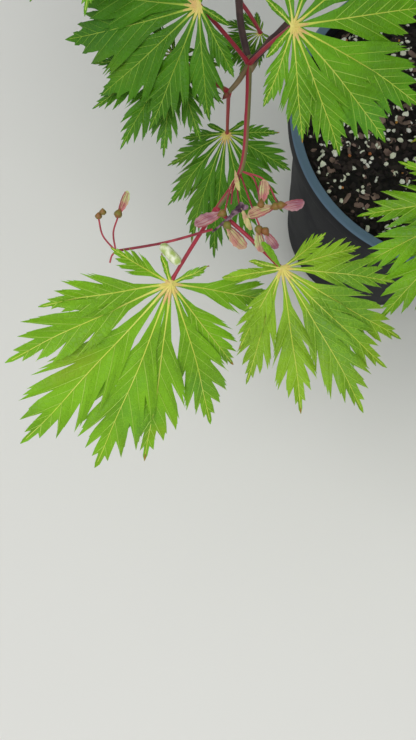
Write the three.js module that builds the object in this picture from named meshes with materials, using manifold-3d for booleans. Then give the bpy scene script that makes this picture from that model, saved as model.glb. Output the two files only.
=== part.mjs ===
// A young fernleaf full-moon maple in its nursery pot: pot, potting mix, trunk, boughs, and ten
// masses of foliage on opposite twigs. A leaf is a fan of seven or nine lobes cut almost to its
// base. One low shoot hangs out alone over the open side, with large leaves and winged fruit.
// Millimetres, +Z up, origin at the middle of the pot's flat underside.

import * as THREE from "three";
import { mergeVertices } from "three/addons/utils/BufferGeometryUtils.js";
import Module from "manifold-3d";

const wasm = await Module();
wasm.setup();

// Pot and potting mix
const POT_HEIGHT = 240;
const RIM_RADIUS = 138;
const RIM_WIDTH = 8.5;
const RIM_DEPTH = 15;
const FOOT_RADIUS = 106;
const POT_WALL = 2.4;
const POT_FACETS = 36;
const DRAIN_HOLES = 6;
const DRAIN_RADIUS = 8;
const DRAIN_CIRCLE = 78;
const MIX_HEIGHT = 228;
const GAP = 0.3;

// Trunk and boughs, from the top of the mix to the leader's tip
const TRUNK_LINE = [
  [3, -2, MIX_HEIGHT + GAP],
  [1, -1, 285],
  [7, 4, 345],
  [3, 8, 410],
  [-4, 3, 475],
  [2, -3, 540],
  [8, 0, 600],
];
const TRUNK_RADII = [8.6, 3];
const ROOT_FLARE = 7.5;
const FLARE_HEIGHT = 14;
const TRUNK_SIDES = 12;
const BOUGH_SIDES = 7;
const RINGS_PER_SPAN = 2;

const BOUGHS = [
  {
    name: "bough_left",
    radii: [5.2, 2.9],
    line: [[6, 3, 335], [-48, 20, 376], [-108, 36, 416], [-158, 42, 444], [-196, 36, 458]],
  },
  {
    name: "bough_right",
    radii: [5, 2.8],
    line: [[7, 4, 352], [54, -12, 388], [100, -28, 418], [140, -40, 440]],
  },
  {
    name: "bough_back",
    radii: [4.6, 2.7],
    line: [[4, 7, 395], [20, 52, 428], [28, 96, 456], [32, 134, 474]],
  },
  {
    name: "bough_front",
    radii: [4.6, 2.7],
    line: [[3, 7, 402], [10, -42, 422], [4, -88, 434], [-6, -128, 440]],
  },
  {
    name: "bough_back_right",
    radii: [4.2, 2.6],
    line: [[-2, 5, 452], [40, 32, 486], [80, 60, 514], [112, 84, 534]],
  },
  {
    name: "bough_back_left",
    radii: [4.1, 2.5],
    line: [[-4, 4, 470], [-40, 38, 508], [-72, 70, 538], [-98, 96, 560]],
  },
  {
    name: "bough_upper_front",
    radii: [3.6, 2.4],
    line: [[1, -2, 525], [12, -38, 556], [18, -70, 582], [20, -96, 602]],
  },
  {
    name: "bough_upper_left",
    radii: [3.4, 2.3],
    line: [[3, -2, 550], [-32, -4, 590], [-58, 0, 622], [-76, 6, 644]],
  },
];

// Twigs: a node every so often, a little wandering at each, and the side twigs' share of lengths.
const NODE_GAP = 61;
const TWIG_RADII = [[2.3, 1.4], [1.6, 1.1]];
const TWIG_SIDES = 3;
const PLACED_TWIG_SIDES = 4;
const WANDER = 0.3;
const WANDER_UP = 0.2;
const SIDE_SAG = 0.05;
const PAIR_WANDER = 0.5;
const STEEPEST_FALL = -0.4;
const SIDE_LENGTHS = [0.85, 1.15];
const SIDE_SHORTENING = 0.3;
const SIDE_ALONG = 0.75;
const SIDE_ASIDE = 0.8;

// Leaves: the outline as shares of each lobe's length, and how a grown leaf varies.
const LEAF_THICKNESS = 2.6;
const PETIOLE_RADIUS = 1.15;
const SHOULDER = 0.62;
const SHOULDER_SPREAD = 0.74;
const CLEFT = 0.14;
const HEEL = 0.11;
const HEEL_DEPTH = 3.2;
const PLACED_PAIRS = 4;
const GROWN_PAIRS = 3;
const GROWN_STEP = 1.32;
const SWING = 0.7;
const SWING_PER_TRY = 0.16;
const PETIOLE_LENGTHS = [31, 57];
const LEAF_SIZES = [76, 104];
const SHRINK_PER_TRY = 0.03;
const RISES = [0.25, 0.6];
const DIPS = [6, 32];
const ROLLS = [-13, 13];
const DROOPS = [0.08, 0.2];
const SPREADS = [0.88, 1.12];
const LEAF_ALONG = 0.55;
const LEAF_ASIDE = 0.8;
const OUTWARD = 0.9;

// A leaf is skipped after this many tries to clear the other leaves, the limbs and its own space.
const LEAF_TRIES = 12;
const LEAF_CLEARANCE = 4.5;
const STALK_CLEARANCE = 2.5;
const SPACE_MARGIN = 1.5;
const LOWEST_LEAF = 262;

// Winged fruit
const WING_LENGTH = 16;
const WING_WIDTH = 8;
const WING_SINK = 4;
const WING_THICKNESS = 2.6;
const FRUIT_STALK_RADII = [0.9, 0.8];

// Each mass grows from the tip of its limb and keeps to the space nearer to its own middle than
// to any other mass's.
const MASSES = [
  {
    name: "foliage_left", limb: "bough_left", seed: 11,
    heading: [-0.72, 0.55, 0.3], middle: [-300, 130, 480], reach: 165, side: 118, lift: -0.05,
  },
  {
    name: "foliage_right", limb: "bough_right", seed: 23,
    heading: [0.92, -0.26, 0.3], middle: [290, -80, 480], reach: 186, side: 126, lift: -0.06,
  },
  {
    name: "foliage_back", limb: "bough_back", seed: 37,
    heading: [0.1, 0.92, 0.33], middle: [50, 290, 500], reach: 184, side: 126, lift: -0.06,
  },
  {
    name: "foliage_front", limb: "bough_front", seed: 41,
    heading: [0.3, -0.93, 0.2], middle: [50, -290, 455], reach: 180, side: 122, lift: -0.04,
  },
  {
    name: "foliage_back_right", limb: "bough_back_right", seed: 59,
    heading: [0.8, 0.48, 0.34], middle: [230, 165, 590], reach: 182, side: 122, lift: -0.03,
  },
  {
    name: "foliage_back_left", limb: "bough_back_left", seed: 67,
    heading: [-0.7, 0.62, 0.36], middle: [-190, 200, 630], reach: 178, side: 120, lift: -0.02,
  },
  {
    name: "foliage_upper_front", limb: "bough_upper_front", seed: 71,
    heading: [0.28, -0.72, 0.5], middle: [80, -190, 650], reach: 176, side: 118, lift: -0.03,
  },
  {
    name: "foliage_upper_left", limb: "bough_upper_left", seed: 83,
    heading: [-0.75, -0.1, 0.55], middle: [-170, 0, 700], reach: 170, side: 112, lift: -0.02,
  },
  {
    name: "foliage_top", limb: "trunk", seed: 97,
    heading: [0.12, 0.1, 0.98], middle: [40, 40, 735], reach: 184, side: 118, lift: 0.02,
  },
];

// The low shoot over the open side: its twigs, its leaves and its fruit, placed by hand.
const LOW_SHOOT = {
  name: "foliage_front_left",
  limb: "bough_left",
  twigs: [
    { radii: [2.4, 2.2], line: [[-176, 40, 451], [-190, -8, 449], [-193, -68, 438], [-188, -98, 433]] },
    { radii: [1.5, 1.1], line: [[-188, -98, 433], [-189, -124, 430], [-192, -149, 426], [-204, -168, 423]] },
    { radii: [1.4, 1.1], line: [[-188, -98, 433], [-193, -106, 432], [-198, -111, 430]] },
    { radii: [1.5, 1.1], line: [[-190, -8, 449], [-208, -22, 460], [-226, -34, 468]] },
  ],
  leaves: [
    { at: [-226, -204, 419], heading: 242, dip: 20, roll: -38, size: 108, droop: 0.04, spread: [0.96, 0.98] },
    { at: [-172, -196, 418], heading: 298, dip: 8, roll: -25, size: 82, droop: 0.08, spread: [0.98, 0.9] },
    { at: [-174, -116, 479], heading: 346, dip: 17, roll: 30, size: 71, droop: 0.16, spread: [1.3, 0.9] },
    { at: [-212, -92, 462], heading: 183, dip: 21, roll: -36, size: 75, droop: 0.15, spread: [1.12, 1] },
    { at: [-225, -87, 425], heading: 235, dip: 12, roll: -10, size: 54, droop: 0.12, spread: [1.15, 1.15] },
    { at: [-197, -98, 373], heading: 262, dip: 16, roll: 26, size: 74, droop: 0.13, spread: [0.96, 0.92] },
    { at: [-180, -64, 412], heading: 200, dip: 10, roll: 0, size: 30, droop: 0.1, spread: [1, 1] },
    { at: [-246, -54, 492], heading: 236, dip: 14, roll: -8, size: 62, droop: 0.12, spread: [1, 1] },
  ],
  fruitRoot: [-192, -149, 426],
  fruit: [
    { at: [-206, -177, 429], turn: 200 },
    { at: [-197, -170, 432], turn: 60 },
    { at: [-189, -181, 426], turn: 120 },
    { at: [-182, -172, 429], turn: 10 },
    { at: [-172, -169, 430], turn: 75 },
    { at: [-225, -191, 432], turn: 140 },
  ],
};
// One twig of the front mass leans over towards the low shoot, with two leaves.
const LEANING = {
  name: "foliage_front",
  twig: { radii: [1.6, 1.2], line: [[-2, -140, 442], [-22, -143, 445], [-40, -145, 447]] },
  leaves: [
    { at: [-70, -164, 429], heading: 226, dip: 15, roll: 0, size: 80, droop: 0.12, spread: [1, 1] },
    { at: [-58, -126, 462], heading: 194, dip: 12, roll: 8, size: 62, droop: 0.14, spread: [1, 1] },
  ],
};

// The crown is open over the low shoot: nothing else grows inside this wedge.
const OPEN_APEX = [-208, -283, 680];
const OPEN_TILT = THREE.MathUtils.degToRad(8);
const OPEN_RIGHT = 0.38;
const OPEN_BACK = 0.68;
const OPEN_MARGIN = 6;

const COLOURS = {
  pot: 0x2c333d,
  mix: 0x2a211c,
  bark: 0x57433d,
  foliage: 0x4f9a2b,
};

const vec = (place) => new THREE.Vector3(...place);
const radians = THREE.MathUtils.degToRad;
const UP = vec([0, 0, 1]);

// A stream of even draws between 0 and 1 that any language can repeat.
function seeded(seed) {
  let state = seed;
  return () => {
    state = (Math.imul(state, 1664525) + 1013904223) >>> 0;
    return state / 4294967296;
  };
}

const between = ([low, high], random) => low + (high - low) * random();

function toSolid(geometry) {
  const bare = new THREE.BufferGeometry();
  bare.setAttribute("position", geometry.getAttribute("position"));
  if (geometry.index) bare.setIndex(geometry.index);
  const merged = mergeVertices(bare, 1e-4);
  return new wasm.Manifold(
    new wasm.Mesh({
      numProp: 3,
      vertProperties: merged.attributes.position.array,
      triVerts: new Uint32Array(merged.index.array),
    }),
  );
}

function toGeometry(solid) {
  const mesh = solid.getMesh();
  const geometry = new THREE.BufferGeometry();
  geometry.setAttribute("position", new THREE.BufferAttribute(new Float32Array(mesh.vertProperties), 3));
  geometry.setIndex(new THREE.BufferAttribute(new Uint32Array(mesh.triVerts), 1));
  geometry.computeVertexNormals();
  return geometry;
}

function fromPoints(points, faces) {
  const geometry = new THREE.BufferGeometry();
  geometry.setFromPoints(points);
  geometry.setIndex(faces);
  return geometry;
}

// Rings of points carried along a centre line without twisting, joined and capped.
// radius(ring, angle) gives how far the skin stands off the line.
function limbGeometry(line, sides, radius) {
  const points = [];
  const faces = [];
  const across = new THREE.Vector3();
  line.forEach((place, ring) => {
    const ahead = line[Math.min(ring + 1, line.length - 1)];
    const behind = line[Math.max(ring - 1, 0)];
    const direction = ahead.clone().sub(behind).normalize();
    if (ring === 0) across.set(1, 0.2, 0.1);
    across.addScaledVector(direction, -across.dot(direction)).normalize();
    const other = direction.clone().cross(across);
    for (let side = 0; side < sides; side++) {
      const angle = (2 * Math.PI * side) / sides;
      const off = radius(ring, angle);
      points.push(
        place
          .clone()
          .addScaledVector(across, off * Math.cos(angle))
          .addScaledVector(other, off * Math.sin(angle)),
      );
    }
  });
  const last = (line.length - 1) * sides;
  for (let ring = 0; ring < last; ring += sides) {
    for (let side = 0; side < sides; side++) {
      const a = ring + side;
      const b = ring + ((side + 1) % sides);
      faces.push(a, b, b + sides, a, b + sides, a + sides);
    }
  }
  for (let side = 1; side < sides - 1; side++) {
    faces.push(0, side + 1, side);
    faces.push(last, last + side, last + side + 1);
  }
  return fromPoints(points, faces);
}

// A smooth line through the waypoints.
function smooth(waypoints, perSpan) {
  const curve = new THREE.CatmullRomCurve3(waypoints.map(vec), false, "catmullrom", 0.5);
  return curve.getPoints((waypoints.length - 1) * perSpan);
}

const taper = (radii, share) => radii[0] + (radii[1] - radii[0]) * share;

function taperedLimb(line, radii, sides, extra = 0) {
  const spans = line.length - 1;
  return toSolid(limbGeometry(line, sides, (ring) => taper(radii, ring / spans) + extra));
}

// The trunk's foot swells into four root ridges just above the mix, and is cut level.
function trunkSolid(line, extra) {
  const spans = line.length - 1;
  const foot = line[0].z;
  const geometry = limbGeometry(line, TRUNK_SIDES, (ring, angle) => {
    const swell = ROOT_FLARE * Math.exp(-(line[ring].z - foot) / FLARE_HEIGHT);
    return taper(TRUNK_RADII, ring / spans) + swell * (0.75 + 0.4 * Math.cos(4 * angle)) + extra;
  });
  const points = geometry.getAttribute("position");
  for (let i = 0; i < TRUNK_SIDES; i++) points.setZ(i, foot);
  return toSolid(geometry);
}

// Wall radius of the pot's outside at a height: a plain cone from foot to rim.
const wallRadius = (height) =>
  FOOT_RADIUS + ((RIM_RADIUS - RIM_WIDTH + POT_WALL - FOOT_RADIUS) * height) / POT_HEIGHT;

function potSolid() {
  const underRim = POT_HEIGHT - RIM_DEPTH;
  const inside = RIM_RADIUS - RIM_WIDTH;
  const outline = [
    [0, 0],
    [FOOT_RADIUS - 2, 0],
    [wallRadius(3), 3],
    [wallRadius(underRim), underRim],
    [RIM_RADIUS - 1, underRim],
    [RIM_RADIUS, underRim + 2],
    [RIM_RADIUS, POT_HEIGHT - 2.5],
    [RIM_RADIUS - 1.6, POT_HEIGHT - 0.5],
    [RIM_RADIUS - RIM_WIDTH / 2, POT_HEIGHT],
    [inside, POT_HEIGHT - 1.8],
    [wallRadius(underRim) - POT_WALL, underRim],
    [wallRadius(POT_WALL) - POT_WALL, POT_WALL + 1.5],
    [wallRadius(POT_WALL) - POT_WALL - 2, POT_WALL],
    [0, POT_WALL],
  ];
  return drainHoles(toSolid(lathe(outline, POT_FACETS)));
}

// A profile of radius and height turned about the upright axis.
function lathe(outline, facets) {
  const profile = outline.map(([radius, height]) => new THREE.Vector2(radius, height));
  return new THREE.LatheGeometry(profile, facets).rotateX(Math.PI / 2);
}

function drainHoles(pot) {
  let drained = pot;
  for (let i = 0; i < DRAIN_HOLES; i++) {
    const angle = (2 * Math.PI * i) / DRAIN_HOLES;
    const hole = new THREE.CylinderGeometry(DRAIN_RADIUS, DRAIN_RADIUS, 3 * POT_WALL, 8);
    hole.rotateX(Math.PI / 2);
    hole.translate(DRAIN_CIRCLE * Math.cos(angle), DRAIN_CIRCLE * Math.sin(angle), POT_WALL / 2);
    drained = drained.subtract(toSolid(hole));
  }
  return drained;
}

// The mix fills the pot to a slightly mounded top, flat where the trunk stands.
function mixSolid() {
  const floor = POT_WALL + GAP;
  const inner = (height) => wallRadius(height) - POT_WALL - 2 * GAP;
  const edge = MIX_HEIGHT - 4;
  const outline = [
    [0, floor],
    [inner(floor) - 4, floor],
    [inner(floor + 4), floor + 4],
    [inner(edge), edge],
    [85, MIX_HEIGHT - 1],
    [40, MIX_HEIGHT],
    [0, MIX_HEIGHT],
  ];
  return toSolid(lathe(outline, POT_FACETS));
}

const lobeAngle = (index) => radians(Math.sign(index) * (20 * Math.abs(index) + 0.95 * index * index));
const lobeLength = (index) => 1 - 0.07 * Math.abs(index) ** 1.5;

// A leaf's own frame: axis runs along the middle lobe, side to its left, normal up from its face.
function leafFrame(spec) {
  const level = radians(spec.heading);
  const dip = radians(spec.dip);
  const roll = radians(spec.roll);
  const axis = vec([Math.cos(dip) * Math.cos(level), Math.cos(dip) * Math.sin(level), -Math.sin(dip)]);
  const flat = UP.clone().cross(axis).normalize();
  const upright = axis.clone().cross(flat);
  const side = flat.multiplyScalar(Math.cos(roll)).addScaledVector(upright, Math.sin(roll));
  const normal = axis.clone().cross(side);
  return { pairs: PLACED_PAIRS, step: 1, ...spec, centre: vec(spec.at), axis, side, normal };
}

// A place on the leaf at an angle from the middle lobe and a distance from the base. The blade
// sinks with the square of the distance, and each half may be spread wide or drawn together.
function onLeaf(leaf, angle, distance, lift = 0) {
  const turned = angle * (angle > 0 ? leaf.spread[0] : leaf.spread[1]);
  const sink = (leaf.droop * distance * distance) / leaf.size;
  return leaf.centre
    .clone()
    .addScaledVector(leaf.axis, distance * Math.cos(turned))
    .addScaledVector(leaf.side, distance * Math.sin(turned))
    .addScaledVector(leaf.normal, lift - sink);
}

// The leaf's outline: for each lobe a shoulder, its tip and a shoulder, with a cleft between lobes.
// A leaf of fewer lobes takes wider steps round the same fan.
function leafOutline(leaf) {
  const outline = [];
  for (let lobe = -leaf.pairs; lobe <= leaf.pairs; lobe++) {
    const index = lobe * leaf.step;
    const angle = lobeAngle(index);
    const length = lobeLength(index) * leaf.size;
    const before = (angle - lobeAngle(index - leaf.step)) / 2;
    const after = (lobeAngle(index + leaf.step) - angle) / 2;
    if (lobe === -leaf.pairs) outline.push(onLeaf(leaf, angle - before, CLEFT * leaf.size));
    outline.push(onLeaf(leaf, angle - SHOULDER_SPREAD * before, SHOULDER * length));
    outline.push(onLeaf(leaf, angle, length));
    outline.push(onLeaf(leaf, angle + SHOULDER_SPREAD * after, SHOULDER * length));
    outline.push(onLeaf(leaf, angle + after, CLEFT * leaf.size));
  }
  outline.push(onLeaf(leaf, Math.PI, HEEL * leaf.size));
  return outline;
}

// A thin plate in a closed outline, thickest at one point inside it.
function plate(outline, centre, normal, thickness) {
  const points = [...outline];
  const top = points.push(centre.clone().addScaledVector(normal, thickness / 2)) - 1;
  const under = points.push(centre.clone().addScaledVector(normal, -thickness / 2)) - 1;
  const faces = [];
  outline.forEach((_, i) => {
    const next = (i + 1) % outline.length;
    faces.push(top, i, next, under, next, i);
  });
  return toSolid(fromPoints(points, faces));
}

// A leaf's petiole starts in the middle of its node and ends well inside the blade's heel.
function leafSolid(leaf) {
  const blade = plate(leafOutline(leaf), leaf.centre, leaf.normal, LEAF_THICKNESS);
  const end = leaf.centre.clone().addScaledVector(leaf.axis, -HEEL_DEPTH);
  return blade.add(taperedLimb([leaf.root, end], [PETIOLE_RADIUS, PETIOLE_RADIUS * 0.85], 3));
}

// Growth. Everything below fills one list of stalks, as sampled points with radii, and one list of
// leaves, and every new leaf is tried against both.
const stalks = [];
const leaves = [];

function noteStalk(line, radii) {
  const spans = line.length - 1;
  for (let i = 0; i < spans; i++) {
    const steps = Math.max(1, Math.ceil(line[i].distanceTo(line[i + 1]) / 6));
    for (let k = 0; k < steps; k++) {
      const share = k / steps;
      const place = line[i].clone().lerp(line[i + 1], share);
      stalks.push({ place, radius: taper(radii, (i + share) / spans) });
    }
  }
}

// How far a leaf reaches from its base in a direction, from the lengths of its lobes.
function reachAt(leaf, angle) {
  const plain = Math.abs(angle) / (angle > 0 ? leaf.spread[0] : leaf.spread[1]);
  const degrees = THREE.MathUtils.radToDeg(plain);
  if (degrees > 136) return 0.14 * leaf.size;
  const index = (Math.sqrt(400 + 3.8 * degrees) - 20) / 1.9;
  return lobeLength(index) * leaf.size;
}

// Height of a place above a leaf's face, or null where it is beside the leaf.
function heightOver(leaf, place) {
  const off = place.clone().sub(leaf.centre);
  const along = off.dot(leaf.axis);
  const aside = off.dot(leaf.side);
  const distance = Math.hypot(along, aside);
  if (distance > reachAt(leaf, Math.atan2(aside, along)) + 2) return null;
  return off.dot(leaf.normal) + (leaf.droop * distance * distance) / leaf.size;
}

// Points that stand for the whole leaf: its base, and each lobe's middle, shoulder and tip.
function leafPoints(leaf) {
  const points = [leaf.centre];
  for (let index = -5; index <= 5; index++) {
    const angle = lobeAngle(index);
    const length = lobeLength(index) * leaf.size;
    for (const share of [0.33, 0.66, 1]) points.push(onLeaf(leaf, angle, share * length));
  }
  return points;
}

// True where all the places lie on one side of the leaf's face, clear of it, or beside it.
function oneSided(leaf, places) {
  let above = false;
  let below = false;
  for (const place of places) {
    const height = heightOver(leaf, place);
    if (height === null) continue;
    if (Math.abs(height) < LEAF_CLEARANCE) return false;
    if (height > 0) above = true;
    else below = true;
  }
  return !(above && below);
}

function clearOfLeaves(leaf, points, stem) {
  return leaves.every((other) => {
    if (other.centre.distanceTo(leaf.centre) > leaf.size + other.size + 60) return true;
    return oneSided(other, points) && oneSided(leaf, other.points) && oneSided(other, stem);
  });
}

function clearOfStalks(leaf) {
  return stalks.every(({ place, radius }) => {
    if (place.distanceTo(leaf.centre) > leaf.size + 6) return true;
    const height = heightOver(leaf, place);
    return height === null || Math.abs(height) > radius + STALK_CLEARANCE;
  });
}

// A mass's space: nearer to its own middle than to any other's, above the pot, outside the wedge.
function inSpace(mass, places) {
  const own = vec(mass.middle);
  return (
    places.every((place) => place.z > LOWEST_LEAF) &&
    MASSES.every((other) => {
      if (other === mass) return true;
      const theirs = vec(other.middle);
      return places.every((place) => place.distanceTo(own) < place.distanceTo(theirs) - SPACE_MARGIN);
    }) &&
    outsideWedge(places)
  );
}

function outsideWedge(places) {
  const apex = vec(OPEN_APEX);
  const seen = places.map((place) => {
    const off = place.clone().sub(apex);
    const depth = off.y * Math.sin(OPEN_TILT) - off.z * Math.cos(OPEN_TILT);
    const back = off.y * Math.cos(OPEN_TILT) + off.z * Math.sin(OPEN_TILT);
    return { right: off.x - OPEN_RIGHT * depth, back: back - OPEN_BACK * depth };
  });
  return seen.every((s) => s.right > OPEN_MARGIN) || seen.every((s) => s.back > OPEN_MARGIN);
}

// A stem or side twig of a mass: it steps from node to node, wandering a little, and each node
// bears an opposite pair, level and upright by turns. Side twigs and leaf sites are collected.
function growTwig(mass, start, heading, length, level, random, found) {
  const steps = Math.max(2, Math.round(length / NODE_GAP));
  const line = [start.clone()];
  const direction = heading.clone().normalize();
  for (let step = 1; step <= steps; step++) {
    direction.x += WANDER * (random() - 0.5);
    direction.y += WANDER * (random() - 0.5);
    direction.z += WANDER_UP * (random() - 0.5) + mass.lift - SIDE_SAG * level;
    direction.normalize();
    const place = line[line.length - 1].clone().addScaledVector(direction, length / steps);
    if (!inSpace(mass, [place])) break;
    line.push(place);
    addPair(mass, place, direction.clone(), step, steps, level, random, found);
  }
  if (line.length > 1) found.twigs.push({ line, radii: TWIG_RADII[level], level });
}

function addPair(mass, place, direction, step, steps, level, random, found) {
  const flat = UP.clone().cross(direction);
  if (flat.length() < 0.2) flat.set(1, 0, 0);
  flat.addScaledVector(direction, -flat.dot(direction)).normalize();
  const upright = direction.clone().cross(flat);
  const turn = (step % 2 ? 0 : Math.PI / 2) + PAIR_WANDER * (random() - 0.5);
  for (const hand of [1, -1]) {
    const toward = flat
      .clone()
      .multiplyScalar(hand * Math.cos(turn))
      .addScaledVector(upright, hand * Math.sin(turn));
    const branches = level === 0 && step < steps && toward.z > STEEPEST_FALL;
    if (branches) {
      const length = mass.side * (1 - (SIDE_SHORTENING * step) / steps) * between(SIDE_LENGTHS, random);
      const heading = direction.clone().multiplyScalar(SIDE_ALONG).addScaledVector(toward, SIDE_ASIDE);
      found.shoots.push({ place, heading, length });
    } else {
      found.sites.push({ place, direction, toward });
    }
  }
}

// A leaf at a site: its petiole leaves the node sideways and up, and its blade hangs outwards.
// Each further try turns it more and makes it a little smaller; after the last it is skipped.
function growLeaf(mass, site, random) {
  for (let attempt = 0; attempt < LEAF_TRIES; attempt++) {
    const swing = (random() - 0.5) * (SWING + SWING_PER_TRY * attempt);
    const reach = between(PETIOLE_LENGTHS, random);
    const size = between(LEAF_SIZES, random) * (1 - SHRINK_PER_TRY * attempt);
    const rise = between(RISES, random);
    const dip = between(DIPS, random);
    const roll = between(ROLLS, random);
    const droop = between(DROOPS, random);
    const spread = [between(SPREADS, random), between(SPREADS, random)];
    const out = site.direction.clone().multiplyScalar(LEAF_ALONG).addScaledVector(site.toward, LEAF_ASIDE);
    out.z += rise;
    out.applyAxisAngle(UP, swing).normalize();
    const centre = site.place.clone().addScaledVector(out, reach);
    const outward = vec([centre.x, centre.y, 0]).multiplyScalar(OUTWARD / centre.length());
    const facing = out.clone().add(outward);
    const heading = THREE.MathUtils.radToDeg(Math.atan2(facing.y, facing.x));
    const lobes = { pairs: GROWN_PAIRS, step: GROWN_STEP };
    const leaf = leafFrame({ at: centre.toArray(), heading, dip, roll, size, droop, spread, ...lobes });
    leaf.root = site.place;
    if (addLeaf(leaf, (points) => inSpace(mass, points))) return leaf;
  }
  return null;
}

function addLeaf(leaf, fits) {
  const points = leafPoints(leaf);
  const stem = [0.25, 0.5, 0.75].map((share) => leaf.root.clone().lerp(leaf.centre, share));
  if (!fits([...points, ...stem])) return false;
  if (!clearOfLeaves(leaf, points, stem) || !clearOfStalks(leaf)) return false;
  keepLeaf(leaf, points);
  return true;
}

function keepLeaf(leaf, points) {
  leaves.push({ ...leaf, points });
  noteStalk([leaf.root, leaf.root.clone().lerp(leaf.centre, 0.9)], [PETIOLE_RADIUS, PETIOLE_RADIUS]);
}

// A leaf placed by hand hangs from the nearest node or tip of its mass's twigs.
function placeLeaf(spec, twigs) {
  const leaf = leafFrame(spec);
  const nodes = twigs.flatMap((twig) => twig.line.slice(1));
  nodes.sort((a, b) => a.distanceTo(leaf.centre) - b.distanceTo(leaf.centre));
  leaf.root = nodes[0];
  keepLeaf(leaf, leafPoints(leaf));
  return leaf;
}

// A pair of winged seeds on a thin stalk: two drooping wings joined at the nutlets. The shape is
// one wing's outline as shares of its length and width, and the other wing mirrors it.
function fruitSolid(root, { at, turn }) {
  const centre = vec(at);
  const along = vec([Math.cos(radians(turn)), Math.sin(radians(turn)), 0]);
  const across = UP.clone().cross(along);
  const wing = [[0.3, 0.22], [0.7, 0.4], [1, 0.1], [0.95, -0.35], [0.6, -0.6], [0.25, -0.4]];
  const other = wing.map(([share, aside]) => [-share, aside]).reverse();
  const shape = [[0, 0.28], ...other.reverse(), [0, -0.33], ...wing.reverse()];
  const outline = shape.map(([share, aside]) => {
    const place = centre.clone().addScaledVector(along, share * WING_LENGTH);
    place.addScaledVector(across, aside * WING_WIDTH);
    place.z -= WING_SINK * share * share;
    return place;
  });
  const stalk = [root, centre.clone().addScaledVector(across, -0.1 * WING_WIDTH)];
  return plate(outline, centre, UP, WING_THICKNESS).add(taperedLimb(stalk, FRUIT_STALK_RADII, 3));
}

function joined(solids) {
  return solids.reduce((whole, solid) => whole.add(solid));
}

// The tree: limbs first, then every mass's twigs, then the leaves, mass by mass.
const limbs = new Map();
limbs.set("trunk", { line: smooth(TRUNK_LINE, RINGS_PER_SPAN), radii: TRUNK_RADII });
for (const bough of BOUGHS) {
  limbs.set(bough.name, { line: smooth(bough.line, RINGS_PER_SPAN), radii: bough.radii });
}
for (const limb of limbs.values()) noteStalk(limb.line, limb.radii);

const placedTwig = ({ line, radii }) => ({ line: line.map(vec), radii });
const low = { ...LOW_SHOOT, twigs: LOW_SHOOT.twigs.map(placedTwig) };
for (const twig of low.twigs) noteStalk(twig.line, twig.radii);
low.grown = low.leaves.map((spec) => placeLeaf(spec, low.twigs));

const grown = MASSES.map((mass) => {
  const random = seeded(mass.seed);
  const tip = limbs.get(mass.limb).line.at(-1);
  const found = { twigs: [], shoots: [], sites: [] };
  growTwig(mass, tip, vec(mass.heading), mass.reach, 0, random, found);
  for (const { place, heading, length } of found.shoots) {
    growTwig(mass, place, heading, length, 1, random, found);
  }
  for (const twig of found.twigs) noteStalk(twig.line, twig.radii);
  return { mass, random, ...found, leaves: [] };
});
const leaning = grown.find(({ mass }) => mass.name === LEANING.name);
const leaningTwig = placedTwig(LEANING.twig);
leaning.twigs.push(leaningTwig);
noteStalk(leaningTwig.line, leaningTwig.radii);
leaning.leaves = LEANING.leaves.map((spec) => placeLeaf(spec, [leaningTwig]));
for (const crown of grown) {
  for (const site of crown.sites) {
    const leaf = growLeaf(crown.mass, site, crown.random);
    if (leaf) crown.leaves.push(leaf);
  }
}

// Limbs as solids, each bough cut clear of the trunk, and each mass cut clear of its limb.
function limbSolid(name, line, extra) {
  if (name === "trunk") return trunkSolid(line, extra);
  return taperedLimb(line, limbs.get(name).radii, BOUGH_SIDES, extra);
}

// The limb a little fatter and longer, to cut what must stand clear of it.
function clearanceOf(name) {
  const { line } = limbs.get(name);
  const beyond = line.at(-1).clone().sub(line.at(-2)).setLength(GAP);
  return limbSolid(name, [...line.slice(0, -1), line.at(-1).clone().add(beyond)], GAP);
}

const finish = (color, roughness) => new THREE.MeshStandardMaterial({ color, roughness, metalness: 0 });
const materials = {
  pot: finish(COLOURS.pot, 0.45),
  mix: finish(COLOURS.mix, 0.95),
  bark: finish(COLOURS.bark, 0.75),
  foliage: finish(COLOURS.foliage, 0.55),
};

const plant = new THREE.Group();
function addNode(name, solid, material) {
  const mesh = new THREE.Mesh(toGeometry(solid), material);
  mesh.name = name;
  plant.add(mesh);
}

addNode("pot", potSolid(), materials.pot);
addNode("potting_mix", mixSolid(), materials.mix);
addNode("trunk", limbSolid("trunk", limbs.get("trunk").line, 0), materials.bark);
for (const { name } of BOUGHS) {
  addNode(name, limbSolid(name, limbs.get(name).line, 0).subtract(clearanceOf("trunk")), materials.bark);
}

const lowSolids = [
  ...low.twigs.map(({ line, radii }) => taperedLimb(line, radii, PLACED_TWIG_SIDES)),
  ...low.grown.map(leafSolid),
  ...low.fruit.map((pair) => fruitSolid(vec(low.fruitRoot), pair)),
];
addNode(low.name, joined(lowSolids).subtract(clearanceOf(low.limb)), materials.foliage);

for (const { mass, twigs, leaves: own } of grown) {
  const stems = twigs.map(({ line, radii }) => taperedLimb(line, radii, TWIG_SIDES));
  const whole = joined([...stems, ...own.map(leafSolid)]);
  addNode(mass.name, whole.subtract(clearanceOf(mass.limb)), materials.foliage);
}

export default plant;
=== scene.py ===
# A young fernleaf full-moon maple in its nursery pot: its looks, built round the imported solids.
# Lengths are in millimetres until a mesh is made, and +Z is up. Angles are in radians, except that a
# leaf's heading, dip and roll and the turns of its lobes are given in degrees.

import math

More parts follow.
